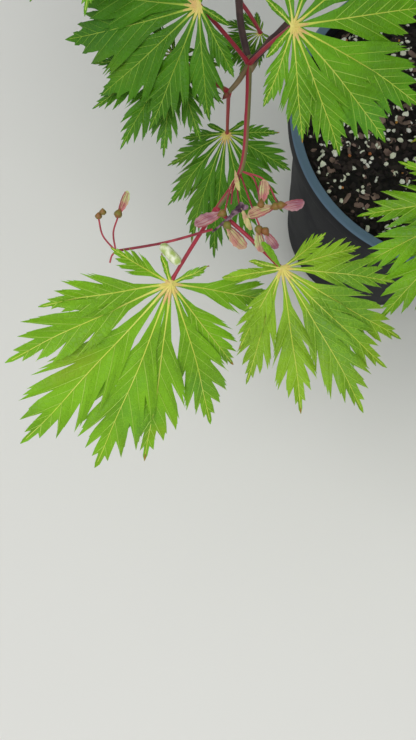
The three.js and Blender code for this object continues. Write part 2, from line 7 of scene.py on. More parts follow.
import bpy
import numpy as np
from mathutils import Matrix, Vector


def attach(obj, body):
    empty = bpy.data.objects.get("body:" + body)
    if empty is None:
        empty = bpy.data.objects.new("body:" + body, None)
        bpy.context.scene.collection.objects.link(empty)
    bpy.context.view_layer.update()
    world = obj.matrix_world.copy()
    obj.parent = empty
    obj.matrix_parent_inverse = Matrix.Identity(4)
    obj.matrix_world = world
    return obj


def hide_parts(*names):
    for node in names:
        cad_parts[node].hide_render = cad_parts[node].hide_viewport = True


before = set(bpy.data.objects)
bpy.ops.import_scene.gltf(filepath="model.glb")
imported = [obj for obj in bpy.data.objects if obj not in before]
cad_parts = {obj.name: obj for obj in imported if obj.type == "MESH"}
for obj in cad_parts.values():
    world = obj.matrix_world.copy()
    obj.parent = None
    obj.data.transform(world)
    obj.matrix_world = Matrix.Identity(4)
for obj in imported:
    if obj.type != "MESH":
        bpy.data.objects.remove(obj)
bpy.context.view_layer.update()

# Pot and potting mix
POT_HEIGHT = 240.0
RIM_RADIUS = 138.0
RIM_WIDTH = 8.5
RIM_DEPTH = 15.0
FOOT_RADIUS = 106.0
POT_WALL = 2.4
DRAIN_HOLES = 6
DRAIN_RADIUS = 8.0
DRAIN_CIRCLE = 78.0
MIX_HEIGHT = 228.0
GAP = 0.3

# Trunk and boughs
TRUNK_FOOT = MIX_HEIGHT + GAP
TRUNK_LINE = [
    (3, -2, TRUNK_FOOT),
    (1, -1, 285),
    (7, 4, 345),
    (3, 8, 410),
    (-4, 3, 475),
    (2, -3, 540),
    (8, 0, 600),
]
TRUNK_RADII = (8.6, 3)
ROOT_FLARE = 7.5
FLARE_HEIGHT = 14.0
RINGS_PER_SPAN = 2
BOUGHS = {
    "bough_left": (
        (5.2, 2.9),
        [(6, 3, 335), (-48, 20, 376), (-108, 36, 416), (-158, 42, 444), (-196, 36, 458)],
    ),
    "bough_right": ((5, 2.8), [(7, 4, 352), (54, -12, 388), (100, -28, 418), (140, -40, 440)]),
    "bough_back": ((4.6, 2.7), [(4, 7, 395), (20, 52, 428), (28, 96, 456), (32, 134, 474)]),
    "bough_front": ((4.6, 2.7), [(3, 7, 402), (10, -42, 422), (4, -88, 434), (-6, -128, 440)]),
    "bough_back_right": ((4.2, 2.6), [(-2, 5, 452), (40, 32, 486), (80, 60, 514), (112, 84, 534)]),
    "bough_back_left": ((4.1, 2.5), [(-4, 4, 470), (-40, 38, 508), (-72, 70, 538), (-98, 96, 560)]),
    "bough_upper_front": ((3.6, 2.4), [(1, -2, 525), (12, -38, 556), (18, -70, 582), (20, -96, 602)]),
    "bough_upper_left": ((3.4, 2.3), [(3, -2, 550), (-32, -4, 590), (-58, 0, 622), (-76, 6, 644)]),
}

# Twigs and how they wander
NODE_GAP = 61.0
TWIG_RADII = ((2.3, 1.4), (1.6, 1.1), (1.1, 0.8))
WANDER = 0.3
WANDER_UP = 0.2
SIDE_SAG = 0.05
PAIR_WANDER = 0.5
STEEPEST_FALL = -0.4
SIDE_LENGTHS = (0.85, 1.15)
SIDE_SHORTENING = 0.3
SIDE_ALONG = 0.75
SIDE_ASIDE = 0.8

# A leaf's lobes: degrees from one to the next, and the growth of that step with the square of the lobe's
# number; how much shorter each is, by a power of its number; and where the fan ends, with its narrow foot
LOBE_STEP = 20.0
LOBE_STEP_GROWTH = 0.95
LOBE_FALL = 0.07
LOBE_FALL_POWER = 1.5
FAN_EDGE = 136.0
FAN_FOOT = 0.14
# What is left of the blade between two side lobules, as a share of the lobule before the cut
CUT = 0.42

# How a grown leaf varies
SWING = 0.7
SWING_PER_TRY = 0.16
SHRINK_PER_TRY = 0.03
RISES = (0.25, 0.6)
DIPS = (6, 32)
ROLLS = (-13, 13)
DROOPS = (0.08, 0.2)
SPREADS = (0.88, 1.12)
LEAF_ALONG = 0.55
LEAF_ASIDE = 0.8
OUTWARD = 0.9
# detail: lengths of the petiole, sizes of the leaf, and how many places are tried
LEAF_KINDS = {
    "grown": ((31, 57), (76, 104), 12),
    "small": ((16, 34), (40, 66), 7),
}

# Room round leaves and stalks
PETIOLE_RADIUS = 1.15
PETIOLE_END = 0.9
LEAF_CLEARANCE = 4.5
STALK_CLEARANCE = 2.5
LEAF_EDGE = 2
STALK_REACH = 6
LEAF_GAP = 60
STEM_SHARES = (0.25, 0.5, 0.75)
SAMPLE_STEP = 6
MOST_SAMPLES = 60000
SPACE_MARGIN = 1.5
LOWEST_LEAF = 262.0
NEARLY_UPRIGHT = 0.2

# Spurs, the finer twigs, each with small leaves
SPUR_LENGTHS = (10, 26)
SPUR_PLACES = (0.5, 1.0)
SPUR_ALONG = 0.6
SPUR_ASIDE = 0.8
SPUR_RISE = 0.25
LIMB_SPUR_GAP = 26.0
LIMB_SPURS_FROM = 0.35

# name: limb, seed, heading, middle, reach, side, lift
MASSES = {
    "foliage_left": ("bough_left", 11, (-0.72, 0.55, 0.3), (-300, 130, 480), 165, 118, -0.05),
    "foliage_right": ("bough_right", 23, (0.92, -0.26, 0.3), (290, -80, 480), 186, 126, -0.06),
    "foliage_back": ("bough_back", 37, (0.1, 0.92, 0.33), (50, 290, 500), 184, 126, -0.06),
    "foliage_front": ("bough_front", 41, (0.3, -0.93, 0.2), (50, -290, 455), 180, 122, -0.04),
    "foliage_back_right": ("bough_back_right", 59, (0.8, 0.48, 0.34), (230, 165, 590), 182, 122, -0.03),
    "foliage_back_left": ("bough_back_left", 67, (-0.7, 0.62, 0.36), (-190, 200, 630), 178, 120, -0.02),
    "foliage_upper_front": ("bough_upper_front", 71, (0.28, -0.72, 0.5), (80, -190, 650), 176, 118, -0.03),
    "foliage_upper_left": ("bough_upper_left", 83, (-0.75, -0.1, 0.55), (-170, 0, 700), 170, 112, -0.02),
    "foliage_top": ("trunk", 97, (0.12, 0.1, 0.98), (40, 40, 735), 184, 118, 0.02),
}

# The low shoot over the open side
LOW_SHOOT = "foliage_front_left"
LOW_TWIGS = [
    ((2.4, 2.2), [(-176, 40, 451), (-190, -8, 449), (-193, -68, 438), (-188, -98, 433)]),
    ((1.5, 1.1), [(-188, -98, 433), (-189, -124, 430), (-192, -149, 426), (-204, -168, 423)]),
    ((1.4, 1.1), [(-188, -98, 433), (-193, -106, 432), (-198, -111, 430)]),
    ((1.5, 1.1), [(-190, -8, 449), (-208, -22, 460), (-226, -34, 468)]),
]
# at, heading, dip, roll, size, droop, spread, tint, breadth of the lobes' narrow feet, cut
# A near leaf's tint is partly painted light and shade: bright where it is lit, deep where it is shaded
LOW_LEAVES = [
    ((-226, -204, 419), 242, 20, -38, 108, 0.04, (0.96, 0.98), "bright", 0.95),
    ((-172, -196, 418), 298, 8, -25, 82, 0.08, (0.98, 0.9), "fresh", 0.72),
    ((-174, -116, 479), 346, 17, 30, 71, 0.16, (1.3, 0.9), "mid", 1.4, 0.55),
    ((-212, -92, 462), 183, 21, -36, 75, 0.15, (1.12, 1), "deep", 1.5, 0.62),
    ((-225, -87, 425), 235, 12, -10, 54, 0.12, (1.15, 1.15), "deep"),
    ((-197, -98, 373), 262, 16, 26, 74, 0.13, (0.96, 0.92), "deep"),
    ((-180, -64, 412), 200, 10, 0, 30, 0.1, (1, 1), "deep"),
    ((-246, -54, 492), 236, 14, -8, 62, 0.12, (1, 1), "mid"),
]
# The two largest of them were compared lobe by lobe: the roll as drawn, then each lobe's share of its
# ruled length, the degrees that it is turned and how far it is toothed, from the lobe furthest right
# of the axis leftwards
DRAWN = {
    0: (
        -38,
        (0.68, 0.74, 0.93, 1, 1.12, 1.02, 1.07, 1.1, 0.97, 1.35, 0.92),
        (-15, -3, 7, 0, -1, 5, -1, 3, -4, 14, 15),
        (0.15, 0.9, 1, 1, 1, 1, 1, 1, 1, 0.85, 0.5),
    ),
    1: (
        -5,
        (0.93, 0.85, 0.9, 0.9, 0.96, 1.05, 1, 1.12, 1.2, 1.25, 1.7),
        (-17, -19, 2, -8, 0, 3, -4, -10, -9, -13, -25),
        (0.15, 0.2, 0.9, 1, 1, 1, 1, 1, 1, 1, 0.9),
    ),
}
# Winged seeds over the shoot's tip: from the seed to the wing's tip, and the wing's width
WINGS = [
    ((-201, -173, 430), (-214, -179, 428), 5.8),
    ((-199, -178, 428), (-190, -188, 424), 6.0),
    ((-176, -170, 431), (-189, -175, 429), 5.6),
    ((-174, -170, 432), (-163, -170, 434), 5.4),
    ((-183, -169, 430), (-182, -158, 433), 5.0),
    ((-184, -180, 428), (-182, -190, 424), 4.6),
    ((-181, -181, 428), (-175, -188, 424), 4.4),
    ((-250, -175, 433), (-245, -165, 436), 3.6),
]
# The lines on a wing, by column of its grid: the stiff edge first, then the finer veins
WING_LINES = ((7, 0.34), (5, 0.15), (3, 0.15), (2, 0.12))
SMALL_SEEDS = [(-259, -177, 434), (-257, -175.2, 434.4)]
PEDICELS = [
    ((-193, -151, 426), (-197, -160, 431), (-200, -172, 430)),
    ((-193, -151, 426), (-196, -160, 430), (-197, -168, 429)),
    ((-192, -151, 426), (-194, -160, 430), (-193, -170, 429)),
    ((-191, -150, 426), (-186, -156, 430), (-183, -168, 430)),
    ((-191, -150, 426), (-181, -157, 431), (-175, -169, 431)),
    ((-192, -152, 426), (-188, -166, 428), (-183, -180, 428)),
]
BARE_STALK = [
    ((-206, -179, 425), (-228, -187, 429), (-251, -192, 431)),
    ((-251, -192, 431), (-257, -185, 432), (-259, -177, 433)),
    ((-251, -192, 431), (-252, -184, 433), (-250, -176, 433)),
    ((-251, -192, 431), (-253, -194, 430), (-254, -197, 429)),
]
DRY_BITS = [
    ((-192, -169, 431), (-197, -174, 430), 1.5),
    ((-190, -170, 430), (-194, -173, 431), 1.3),
    ((-193, -171, 430), (-206, -180, 424), 1.1),
    ((-196, -172, 430), (-201, -179, 427), 0.8),
]
# Start, tip, width and curl of each scale, which is a small wing
BUD_SCALES = [
    ((-194, -154, 430), (-197, -163, 429), 2.6, 0.6),
    ((-195, -152, 431), (-193, -162, 430), 2.2, 0.6),
    ((-192, -171, 431), (-187, -180, 427), 2.8, -1.2),
]
POD = ((-230, -189, 432), (-221, -198, 430))
LEAFLET = ((-174, -198, 426), (-183, -187, 428), 3.6)

# The twig of the front mass that leans over the open side, and its two leaves
LEANING_TWIG = ((1.6, 1.2), [(-2, -140, 442), (-22, -143, 445), (-40, -145, 447)])
LEANING_LEAVES = [
    ((-70, -164, 429), 226, 15, 0, 80, 0.12, (1, 1), "bright"),
    ((-58, -126, 462), 194, 12, 8, 62, 0.14, (1, 1), "bright"),
]

# A dark bare twig from the low shoot's fork, up under the leaf beside it
BARE_TWIG = ((1.9, 1.3), [(-188, -98, 433), (-179, -97, 447), (-171, -96, 460)])

# The crown is open over the low shoot: nothing else grows inside this wedge.
OPEN_APEX = np.array((-208.0, -283.0, 680.0))
OPEN_TILT = math.radians(8)
OPEN_RIGHT = 0.38
OPEN_BACK = 0.68
OPEN_MARGIN = 6.0

UP = np.array((0.0, 0.0, 1.0))


def vec(place):
    return np.array(place, float)


def length_of(v):
    return float(np.sqrt(v @ v))


def unit(v):
    return v / length_of(v)


class Stream:
    """Even draws between 0 and 1: each state is the last times 1664525 plus 1013904223, kept to 32 bits."""

    def __init__(self, seed):
        self.state = seed

    def __call__(self):
        self.state = (self.state * 1664525 + 1013904223) % 4294967296
        return self.state / 4294967296

    def between(self, limits):
        return limits[0] + (limits[1] - limits[0]) * self()


def smooth(waypoints, per_span):
    """A Hermite curve through the waypoints: each tangent is half the step from the waypoint before to
    the one after, and beyond each end the line goes on straight."""
    points = [vec(p) for p in waypoints]
    points = [2 * points[0] - points[1], *points, 2 * points[-1] - points[-2]]
    line = []
    for before, a, b, after in zip(points, points[1:], points[2:], points[3:]):
        for k in range(per_span):
            t = k / per_span
            out, into = 0.5 * (b - before), 0.5 * (after - a)
            line.append(
                (2 * t**3 - 3 * t**2 + 1) * a
                + (t**3 - 2 * t**2 + t) * out
                + (3 * t**2 - 2 * t**3) * b
                + (t**3 - t**2) * into
            )
    return [*line, points[-2]]


def lobe_angle(index):
    """20 degrees a lobe and a little more for each further one."""
    index = np.asarray(index, float)
    return np.radians(np.sign(index) * (LOBE_STEP * np.abs(index) + LOBE_STEP_GROWTH * index**2))


def lobe_length(index):
    """Full length in the middle, falling with the power 1.5 of the lobe's number."""
    return 1 - LOBE_FALL * np.abs(np.asarray(index, float)) ** LOBE_FALL_POWER


ALL_LOBES = np.arange(-5, 6)
# How far a lobe is toothed, by its number, and the shares of a lobe where its leaf is tested for room
TOOTHED = ((3, 4, 5), (1, 0.7, 0.15))
POINT_SHARES = (0.33, 0.66, 1)


class Leaf:
    """A leaf's own frame: axis along the middle lobe, side to its left, normal up from its face."""

    def __init__(
        self, at, heading, dip, roll, size, droop, spread, tint="mid", breadth=1.0, cut=CUT, *, detail
    ):
        level, dip, roll = math.radians(heading), math.radians(dip), math.radians(roll)
        self.centre = vec(at)
        self.axis = vec((math.cos(dip) * math.cos(level), math.cos(dip) * math.sin(level), -math.sin(dip)))
        flat = unit(np.cross(UP, self.axis))
        upright = np.cross(self.axis, flat)
        self.side = flat * math.cos(roll) + upright * math.sin(roll)
        self.normal = np.cross(self.axis, self.side)
        self.size, self.droop, self.spread = size, droop, spread
        self.tint, self.breadth, self.cut, self.detail = tint, breadth, cut, detail
        self.lengths, self.turns = 1.0, 0.0
        self.toothed = np.interp(np.abs(ALL_LOBES), *TOOTHED)
        self.root = self.centre
        angles = np.repeat(lobe_angle(ALL_LOBES), 3)
        shares = np.tile(POINT_SHARES, len(ALL_LOBES)) * np.repeat(lobe_length(ALL_LOBES), 3)
        self.points = np.vstack([self.centre, self.on(angles, shares * size)])

    def turned(self, angle):
        """Each half of the fan is spread wide or drawn together by its own share."""
        return angle * np.where(angle > 0, self.spread[0], self.spread[1])

    def on(self, angle, distance):
        """A place on the blade by angle and distance; it sinks with the square of the distance."""
        turned = self.turned(angle)
        return self.place(distance * np.cos(turned), distance * np.sin(turned), 0.0)

    def place(self, along, aside, lift):
        sink = self.droop * (along**2 + aside**2) / self.size
        return (
            self.centre
            + along[..., None] * self.axis
            + aside[..., None] * self.side
            + (lift - sink)[..., None] * self.normal
        )

    def reach_at(self, angle):
        """How far the leaf reaches in a direction, from the lengths of its lobes."""
        degrees = np.degrees(np.abs(angle) / np.where(angle > 0, self.spread[0], self.spread[1]))
        root = np.sqrt(LOBE_STEP**2 + 4 * LOBE_STEP_GROWTH * degrees)
        index = (root - LOBE_STEP) / (2 * LOBE_STEP_GROWTH)
        return np.where(degrees > FAN_EDGE, FAN_FOOT, lobe_length(index)) * self.size

    def heights(self, places):
        """Heights of the places above the face, and which of them lie over or under the leaf."""
        off = places - self.centre
        along, aside = off @ self.axis, off @ self.side
        distance = np.hypot(along, aside)
        height = off @ self.normal + self.droop * distance**2 / self.size
        return height, distance <= self.reach_at(np.arctan2(aside, along)) + LEAF_EDGE

    def one_sided(self, places):
        """True where all the places lie on one side of the face, clear of it, or beside it."""
        height, over = self.heights(places)
        height = height[over]
        if not len(height):
            return True
        if np.abs(height).min() < LEAF_CLEARANCE:
            return False
        return not (height.max() > 0 and height.min() <= 0)


class Plant:
    """Everything grown so far: the samples of all stalks with their radii, and all leaves."""

    def __init__(self):
        self.samples = np.zeros((MOST_SAMPLES, 4))
        self.count = 0
        self.leaves = []

    def note_stalk(self, line, radii):
        spans = len(line) - 1
        for i, (a, b) in enumerate(zip(line, line[1:])):
            steps = max(1, math.ceil(length_of(b - a) / SAMPLE_STEP))
            for k in range(steps):
                share = k / steps
                radius = radii[0] + (radii[1] - radii[0]) * (i + share) / spans
                self.samples[self.count] = (*(a + (b - a) * share), radius)
                self.count += 1

    def clear_of_stalks(self, leaf):
        samples = self.samples[: self.count]
        near = np.linalg.norm(samples[:, :3] - leaf.centre, axis=1) <= leaf.size + STALK_REACH
        height, over = leaf.heights(samples[near, :3])
        return not np.any(over & (np.abs(height) <= samples[near, 3] + STALK_CLEARANCE))

    def clear_of_leaves(self, leaf, stem):
        for other in self.leaves:
            if length_of(other.centre - leaf.centre) > leaf.size + other.size + LEAF_GAP:
                continue
            apart = other.one_sided(leaf.points) and leaf.one_sided(other.points) and other.one_sided(stem)
            if not apart:
                return False
        return True

    def try_leaf(self, leaf, mass):
        stem = np.array([leaf.root + (leaf.centre - leaf.root) * share for share in STEM_SHARES])
        if not in_space(mass, np.vstack([leaf.points, stem])):
            return False
        if not (self.clear_of_leaves(leaf, stem) and self.clear_of_stalks(leaf)):
            return False
        self.keep_leaf(leaf)
        return True

    def keep_leaf(self, leaf):
        self.leaves.append(leaf)
        end = leaf.root + (leaf.centre - leaf.root) * PETIOLE_END
        self.note_stalk([leaf.root, end], (PETIOLE_RADIUS, PETIOLE_RADIUS))

    def hang_leaf(self, leaf, twigs):
        """A listed leaf hangs from the nearest node or tip of its mass's twigs."""
        nodes = [place for line, _ in twigs for place in line[1:]]
        leaf.root = min(nodes, key=lambda place: length_of(place - leaf.centre))
        self.keep_leaf(leaf)


MIDDLES = {name: vec(mass[3]) for name, mass in MASSES.items()}


def in_space(mass, places):
    """Nearer to the mass's own middle than to any other's, above the pot, and outside the wedge."""
    if places[:, 2].min() <= LOWEST_LEAF:
        return False
    own = np.linalg.norm(places - MIDDLES[mass], axis=1)
    for name, middle in MIDDLES.items():
        if name != mass and np.any(own >= np.linalg.norm(places - middle, axis=1) - SPACE_MARGIN):
            return False
    return outside_wedge(places)


def outside_wedge(places):
    off = places - OPEN_APEX
    depth = off[:, 1] * math.sin(OPEN_TILT) - off[:, 2] * math.cos(OPEN_TILT)
    back = off[:, 1] * math.cos(OPEN_TILT) + off[:, 2] * math.sin(OPEN_TILT)
    right = off[:, 0] - OPEN_RIGHT * depth
    return bool(np.all(right > OPEN_MARGIN) or np.all(back - OPEN_BACK * depth > OPEN_MARGIN))


class Crown:
    """One mass: its twigs, the shoots still to grow, and its leaf sites."""

    def __init__(self, name):
        self.name = name
        self.limb, seed, self.heading, _, self.reach, self.side, self.lift = MASSES[name]
        self.random = Stream(seed)
        self.twigs, self.shoots, self.sites = [], [], []

    def grow_twig(self, start, heading, length, level):
        """It steps from node to node, wandering a little, and each node bears an opposite pair."""
        steps = max(2, math.floor(length / NODE_GAP + 0.5))
        line = [start]
        direction = unit(vec(heading))
        for step in range(1, steps + 1):
            x = WANDER * (self.random() - 0.5)
            y = WANDER * (self.random() - 0.5)
            z = WANDER_UP * (self.random() - 0.5) + self.lift - SIDE_SAG * level
            direction = unit(direction + vec((x, y, z)))
            place = line[-1] + direction * (length / steps)
            if not in_space(self.name, place[None]):
                break
            line.append(place)
            self.add_pair(place, direction, step, steps, level)
        if len(line) > 1:
            self.twigs.append((line, TWIG_RADII[level], level))

    def add_pair(self, place, direction, step, steps, level):
        """The pair stands level and upright by turns; near the stem's foot its members are shoots."""
        turn = (0 if step % 2 else math.pi / 2) + PAIR_WANDER * (self.random() - 0.5)
        for toward in pair_across(direction, turn):
            if level == 0 and step < steps and toward[2] > STEEPEST_FALL:
                shortened = self.side * (1 - SIDE_SHORTENING * step / steps)
                length = shortened * self.random.between(SIDE_LENGTHS)
                self.shoots.append((place, direction * SIDE_ALONG + toward * SIDE_ASIDE, length))
            else:
                self.sites.append((place, direction, toward))


def pair_axes(direction):
    """The level direction across a twig, and the one that stands up from it."""
    flat = np.cross(UP, direction)
    if length_of(flat) < NEARLY_UPRIGHT:
        flat = vec((1, 0, 0))
    flat = unit(flat - direction * (flat @ direction))
    return flat, np.cross(direction, flat)


def pair_across(direction, turn):
    """Two opposite directions across a twig, turned about it from the level one."""
    flat, upright = pair_axes(direction)
    toward = flat * math.cos(turn) + upright * math.sin(turn)
    return toward, -toward


def turned_about_up(v, angle):
    cos, sin = math.cos(angle), math.sin(angle)
    return vec((v[0] * cos - v[1] * sin, v[0] * sin + v[1] * cos, v[2]))


def grow_leaf(plant, crown, site, detail):
    """The petiole leaves the node sideways and up, and the blade hangs outwards. Each further try
    turns it more and makes it a little smaller; after the last the leaf is skipped."""
    place, direction, toward = site
    petioles, sizes, tries = LEAF_KINDS[detail]
    random = crown.random
    for attempt in range(tries):
        swing = (random() - 0.5) * (SWING + SWING_PER_TRY * attempt)
        reach = random.between(petioles)
        size = random.between(sizes) * (1 - SHRINK_PER_TRY * attempt)
        rise = random.between(RISES)
        dip = random.between(DIPS)
        roll = random.between(ROLLS)
        droop = random.between(DROOPS)
        spread = (random.between(SPREADS), random.between(SPREADS))
        out = direction * LEAF_ALONG + toward * LEAF_ASIDE
        out[2] += rise
        out = unit(turned_about_up(out, swing))
        centre = place + out * reach
        facing = out + vec((centre[0], centre[1], 0)) * (OUTWARD / length_of(centre))
        heading = math.degrees(math.atan2(facing[1], facing[0]))
        leaf = Leaf(centre, heading, dip, roll, size, droop, spread, detail=detail)
        leaf.root = place
        if plant.try_leaf(leaf, crown.name):
            return leaf
    return None


def grow_spurs(plant, crown):
    """Finer twigs: a pair of spurs at each node, and one half way between nodes."""
    for line, _, _ in list(crown.twigs):
        for a, b in zip(line, line[1:]):
            for share in SPUR_PLACES:
                grow_spur_pair(plant, crown, a + (b - a) * share, unit(b - a))


def grow_limb_spurs(plant):
    """Spurs along the outer part of each bough and up the trunk, each in the space where it stands."""
    for line, _ in plant.limbs.values():
        points, _, _ = resampled(line, LIMB_SPUR_GAP)
        first = int(len(points) * LIMB_SPURS_FROM)
        for place, after in zip(points[first:], points[first + 1 :]):
            crown = min(plant.crowns, key=lambda crown: length_of(MIDDLES[crown.name] - place))
            grow_spur_pair(plant, crown, place, unit(after - place))


def grow_spur_pair(plant, crown, start, direction):
    for toward in pair_across(direction, 2 * math.pi * crown.random()):
        heading = unit(direction * SPUR_ALONG + toward * SPUR_ASIDE + UP * SPUR_RISE)
        grow_spur(plant, crown, start, heading)


def grow_spur(plant, crown, start, heading):
    """A short spur, where it has room, with up to two small leaves at its tip."""
    tip = start + heading * crown.random.between(SPUR_LENGTHS)
    if not in_space(crown.name, np.array([tip])):
        return
    if any(not leaf.one_sided(np.array([(start + tip) / 2, tip])) for leaf in plant.leaves):
        return
    across, _ = pair_axes(heading)
    borne = [grow_leaf(plant, crown, (tip, heading, across * way), "small") for way in (1, -1)]
    if any(borne):
        crown.twigs.append(([start, tip], TWIG_RADII[2], 2))
        plant.note_stalk([start, tip], TWIG_RADII[2])


def grow_plant():
    """Limbs first, then the low shoot, then every mass's twigs, its leaves, and last the spurs."""
    plant = Plant()
    plant.limbs = {"trunk": (smooth(TRUNK_LINE, RINGS_PER_SPAN), TRUNK_RADII)}
    for name, (radii, line) in BOUGHS.items():
        plant.limbs[name] = (smooth(line, RINGS_PER_SPAN), radii)
    for line, radii in plant.limbs.values():
        plant.note_stalk(line, radii)
    plant.low_twigs = [([vec(p) for p in line], radii) for radii, line in LOW_TWIGS]
    for line, radii in plant.low_twigs:
        plant.note_stalk(line, radii)
    for spec in LOW_LEAVES:
        plant.hang_leaf(Leaf(*spec, detail="near"), plant.low_twigs)
    plant.crowns = [Crown(name) for name in MASSES]
    for crown in plant.crowns:
        tip = plant.limbs[crown.limb][0][-1]
        crown.grow_twig(tip, crown.heading, crown.reach, 0)
        for place, heading, length in list(crown.shoots):
            crown.grow_twig(place, heading, length, 1)
        for line, radii, _ in crown.twigs:
            plant.note_stalk(line, radii)
    plant.leaning = ([vec(p) for p in LEANING_TWIG[1]], LEANING_TWIG[0])
    plant.note_stalk(*plant.leaning)
    for spec in LEANING_LEAVES:
        plant.hang_leaf(Leaf(*spec, detail="near"), [plant.leaning])
    for crown in plant.crowns:
        for site in crown.sites:
            grow_leaf(plant, crown, site, "grown")
    for crown in plant.crowns:
        grow_spurs(plant, crown)
    grow_limb_spurs(plant)
    return plant


# Meshes: a heap is parted once it has passed the most triangles, and edges sharper than this stay sharp
MOST_TRIANGLES = 170000
SHARP_ANGLE = math.radians(60)


class Heap:
    """Many small shapes that are joined into one piece: the points and faces of each."""

    def __init__(self):
        self.shapes, self.triangles = [], 0

    def add(self, points, faces):
        self.shapes.append((np.asarray(points, float).reshape(-1, 3), faces))
        self.triangles += sum(len(f) * (f.shape[1] - 2) for f in faces)

    def joined(self):
        """All the points, in metres, and the faces with their corners numbered through."""
        starts = np.cumsum([0] + [len(points) for points, _ in self.shapes])
        points = np.concatenate([points for points, _ in self.shapes]) / 1000
        return points, [f + start for (_, faces), start in zip(self.shapes, starts) for f in faces]


def circle(sides):
    """The angles of even steps round a circle."""
    return 2 * math.pi * np.arange(sides) / sides


def tube_faces(rows, columns):
    """Quads of a grid whose columns wrap round, with a fan over each end ring."""
    row, column = np.meshgrid(np.arange(rows - 1), np.arange(columns), indexing="ij")
    a = row * columns + column
    b = row * columns + (column + 1) % columns
    quads = np.stack([a, b, b + columns, a + columns], -1).reshape(-1, 4)
    first = np.arange(1, columns - 1)
    last = (rows - 1) * columns
    start = np.stack([np.zeros_like(first), first + 1, first], -1)
    end = np.stack([np.zeros_like(first), first, first + 1], -1) + last
    return [quads, start, end]


def many(faces, copies, points_each):
    """The same faces for several copies of a grid laid one after another."""
    steps = np.arange(copies) * points_each
    return [(f[None] + steps[:, None, None]).reshape(-1, f.shape[1]) for f in faces]


def across_line(line):
    """Two unit directions across a line at each of its points, which don't twist along it."""
    ahead = np.gradient(line, axis=0)
    ahead /= np.linalg.norm(ahead, axis=1)[:, None]
    runs_along_x = abs(unit(line[-1] - line[0])[0]) >= 0.8
    guide = vec((0.1, 1, 0.2) if runs_along_x else (1, 0.2, 0.1))
    across = guide - (ahead @ guide)[:, None] * ahead
    across /= np.linalg.norm(across, axis=1)[:, None]
    return across, np.cross(ahead, across)


def tube(line, radii, sides):
    """A ring of points round each point of the line, joined and closed. There is one radius for all, one
    for each ring or one for each point."""
    line = np.asarray(line, float)
    across, other = across_line(line)
    angle = circle(sides)
    radii = np.asarray(radii, float)
    if radii.ndim == 1:
        radii = radii[:, None]
    radii = np.broadcast_to(radii, (len(line), sides))
    ring = np.cos(angle)[None, :, None] * across[:, None] + np.sin(angle)[None, :, None] * other[:, None]
    return line[:, None] + radii[..., None] * ring, tube_faces(len(line), sides)


def resampled(line, step):
    """Points at even steps along a line, and each one's share of the whole length."""
    line = np.asarray(line, float)
    run = np.concatenate([[0], np.cumsum(np.linalg.norm(np.diff(line, axis=0), axis=1))])
    count = max(2, int(run[-1] / step) + 1)
    at = np.linspace(0, run[-1], count)
    return np.stack([np.interp(at, run, line[:, k]) for k in range(3)], -1), at, run


def placed(name, data):
    """An object of the data, linked into the scene."""
    made = bpy.data.objects.new(name, data)
    bpy.context.scene.collection.objects.link(made)
    return made


def put(name, heap, material, nodes=()):
    """Makes one piece of a heap, in metres, smooth, riding on the plant's one body."""
    points, faces = heap.joined()
    corners = np.concatenate([f.ravel() for f in faces]).astype(np.int32)
    sizes = np.concatenate([np.full(len(f), f.shape[1]) for f in faces])
    starts = (np.cumsum(sizes) - sizes).astype(np.int32)
    mesh = bpy.data.meshes.new(name)
    mesh.vertices.add(len(points))
    mesh.vertices.foreach_set("co", points.astype(np.float32).ravel())
    mesh.loops.add(len(corners))
    mesh.loops.foreach_set("vertex_index", corners)
    mesh.polygons.add(len(starts))
    mesh.polygons.foreach_set("loop_start", starts)
    mesh.polygons.foreach_set("use_smooth", np.ones(len(starts), bool))
    mesh.update(calc_edges=True)
    mesh.validate()
    mesh.set_sharp_from_angle(angle=SHARP_ANGLE)
    mesh.materials.append(material)
    piece = placed(name, mesh)
    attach(piece, "root")
    if nodes:
        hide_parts(*nodes)
    print(name, heap.triangles)
    return piece


def put_in_shares(name, heap, material, nodes=()):
    """Makes a heap into pieces: each takes shapes until it passes MOST_TRIANGLES."""
    parts = [Heap()]
    for shape in heap.shapes:
        if parts[-1].triangles > MOST_TRIANGLES:
            parts.append(Heap())
        parts[-1].add(*shape)
    for number, part in enumerate(parts, 1):
        label = name if len(parts) == 1 else f"{name}_{number}"
        put(label, part, material, nodes if number == 1 else ())


# Leaf lobes: where the side veins leave the midrib, as shares of its length, and how far the blade
# reaches along them. The veins slant forwards by VEIN_SLANT, and more near the leaf's base.
VEINS_AT = (0.36, 0.55, 0.72, 0.86)
VEIN_REACH = (0.38, 0.31, 0.185, 0.082)
VEIN_SLANT = math.radians(28)
FOOT_SLANT = math.radians(44)
FOOT_SHARE = 0.3
BASE_ROWS = ((0, 0.012), (0.07, 0.015), (0.15, 0.036), (0.225, 0.088))
TIP_ROWS = ((0.945, 0.028), (1, 0.003))
FINE_VEINS = [(0.27, 0.2), (0.455, 0.2), (0.635, 0.16), (0.79, 0.1)]
FINE_VEIN_WIDTH = 0.7
SINUS_AT = 0.14
FIRST_DRAWN_IN = 0.9
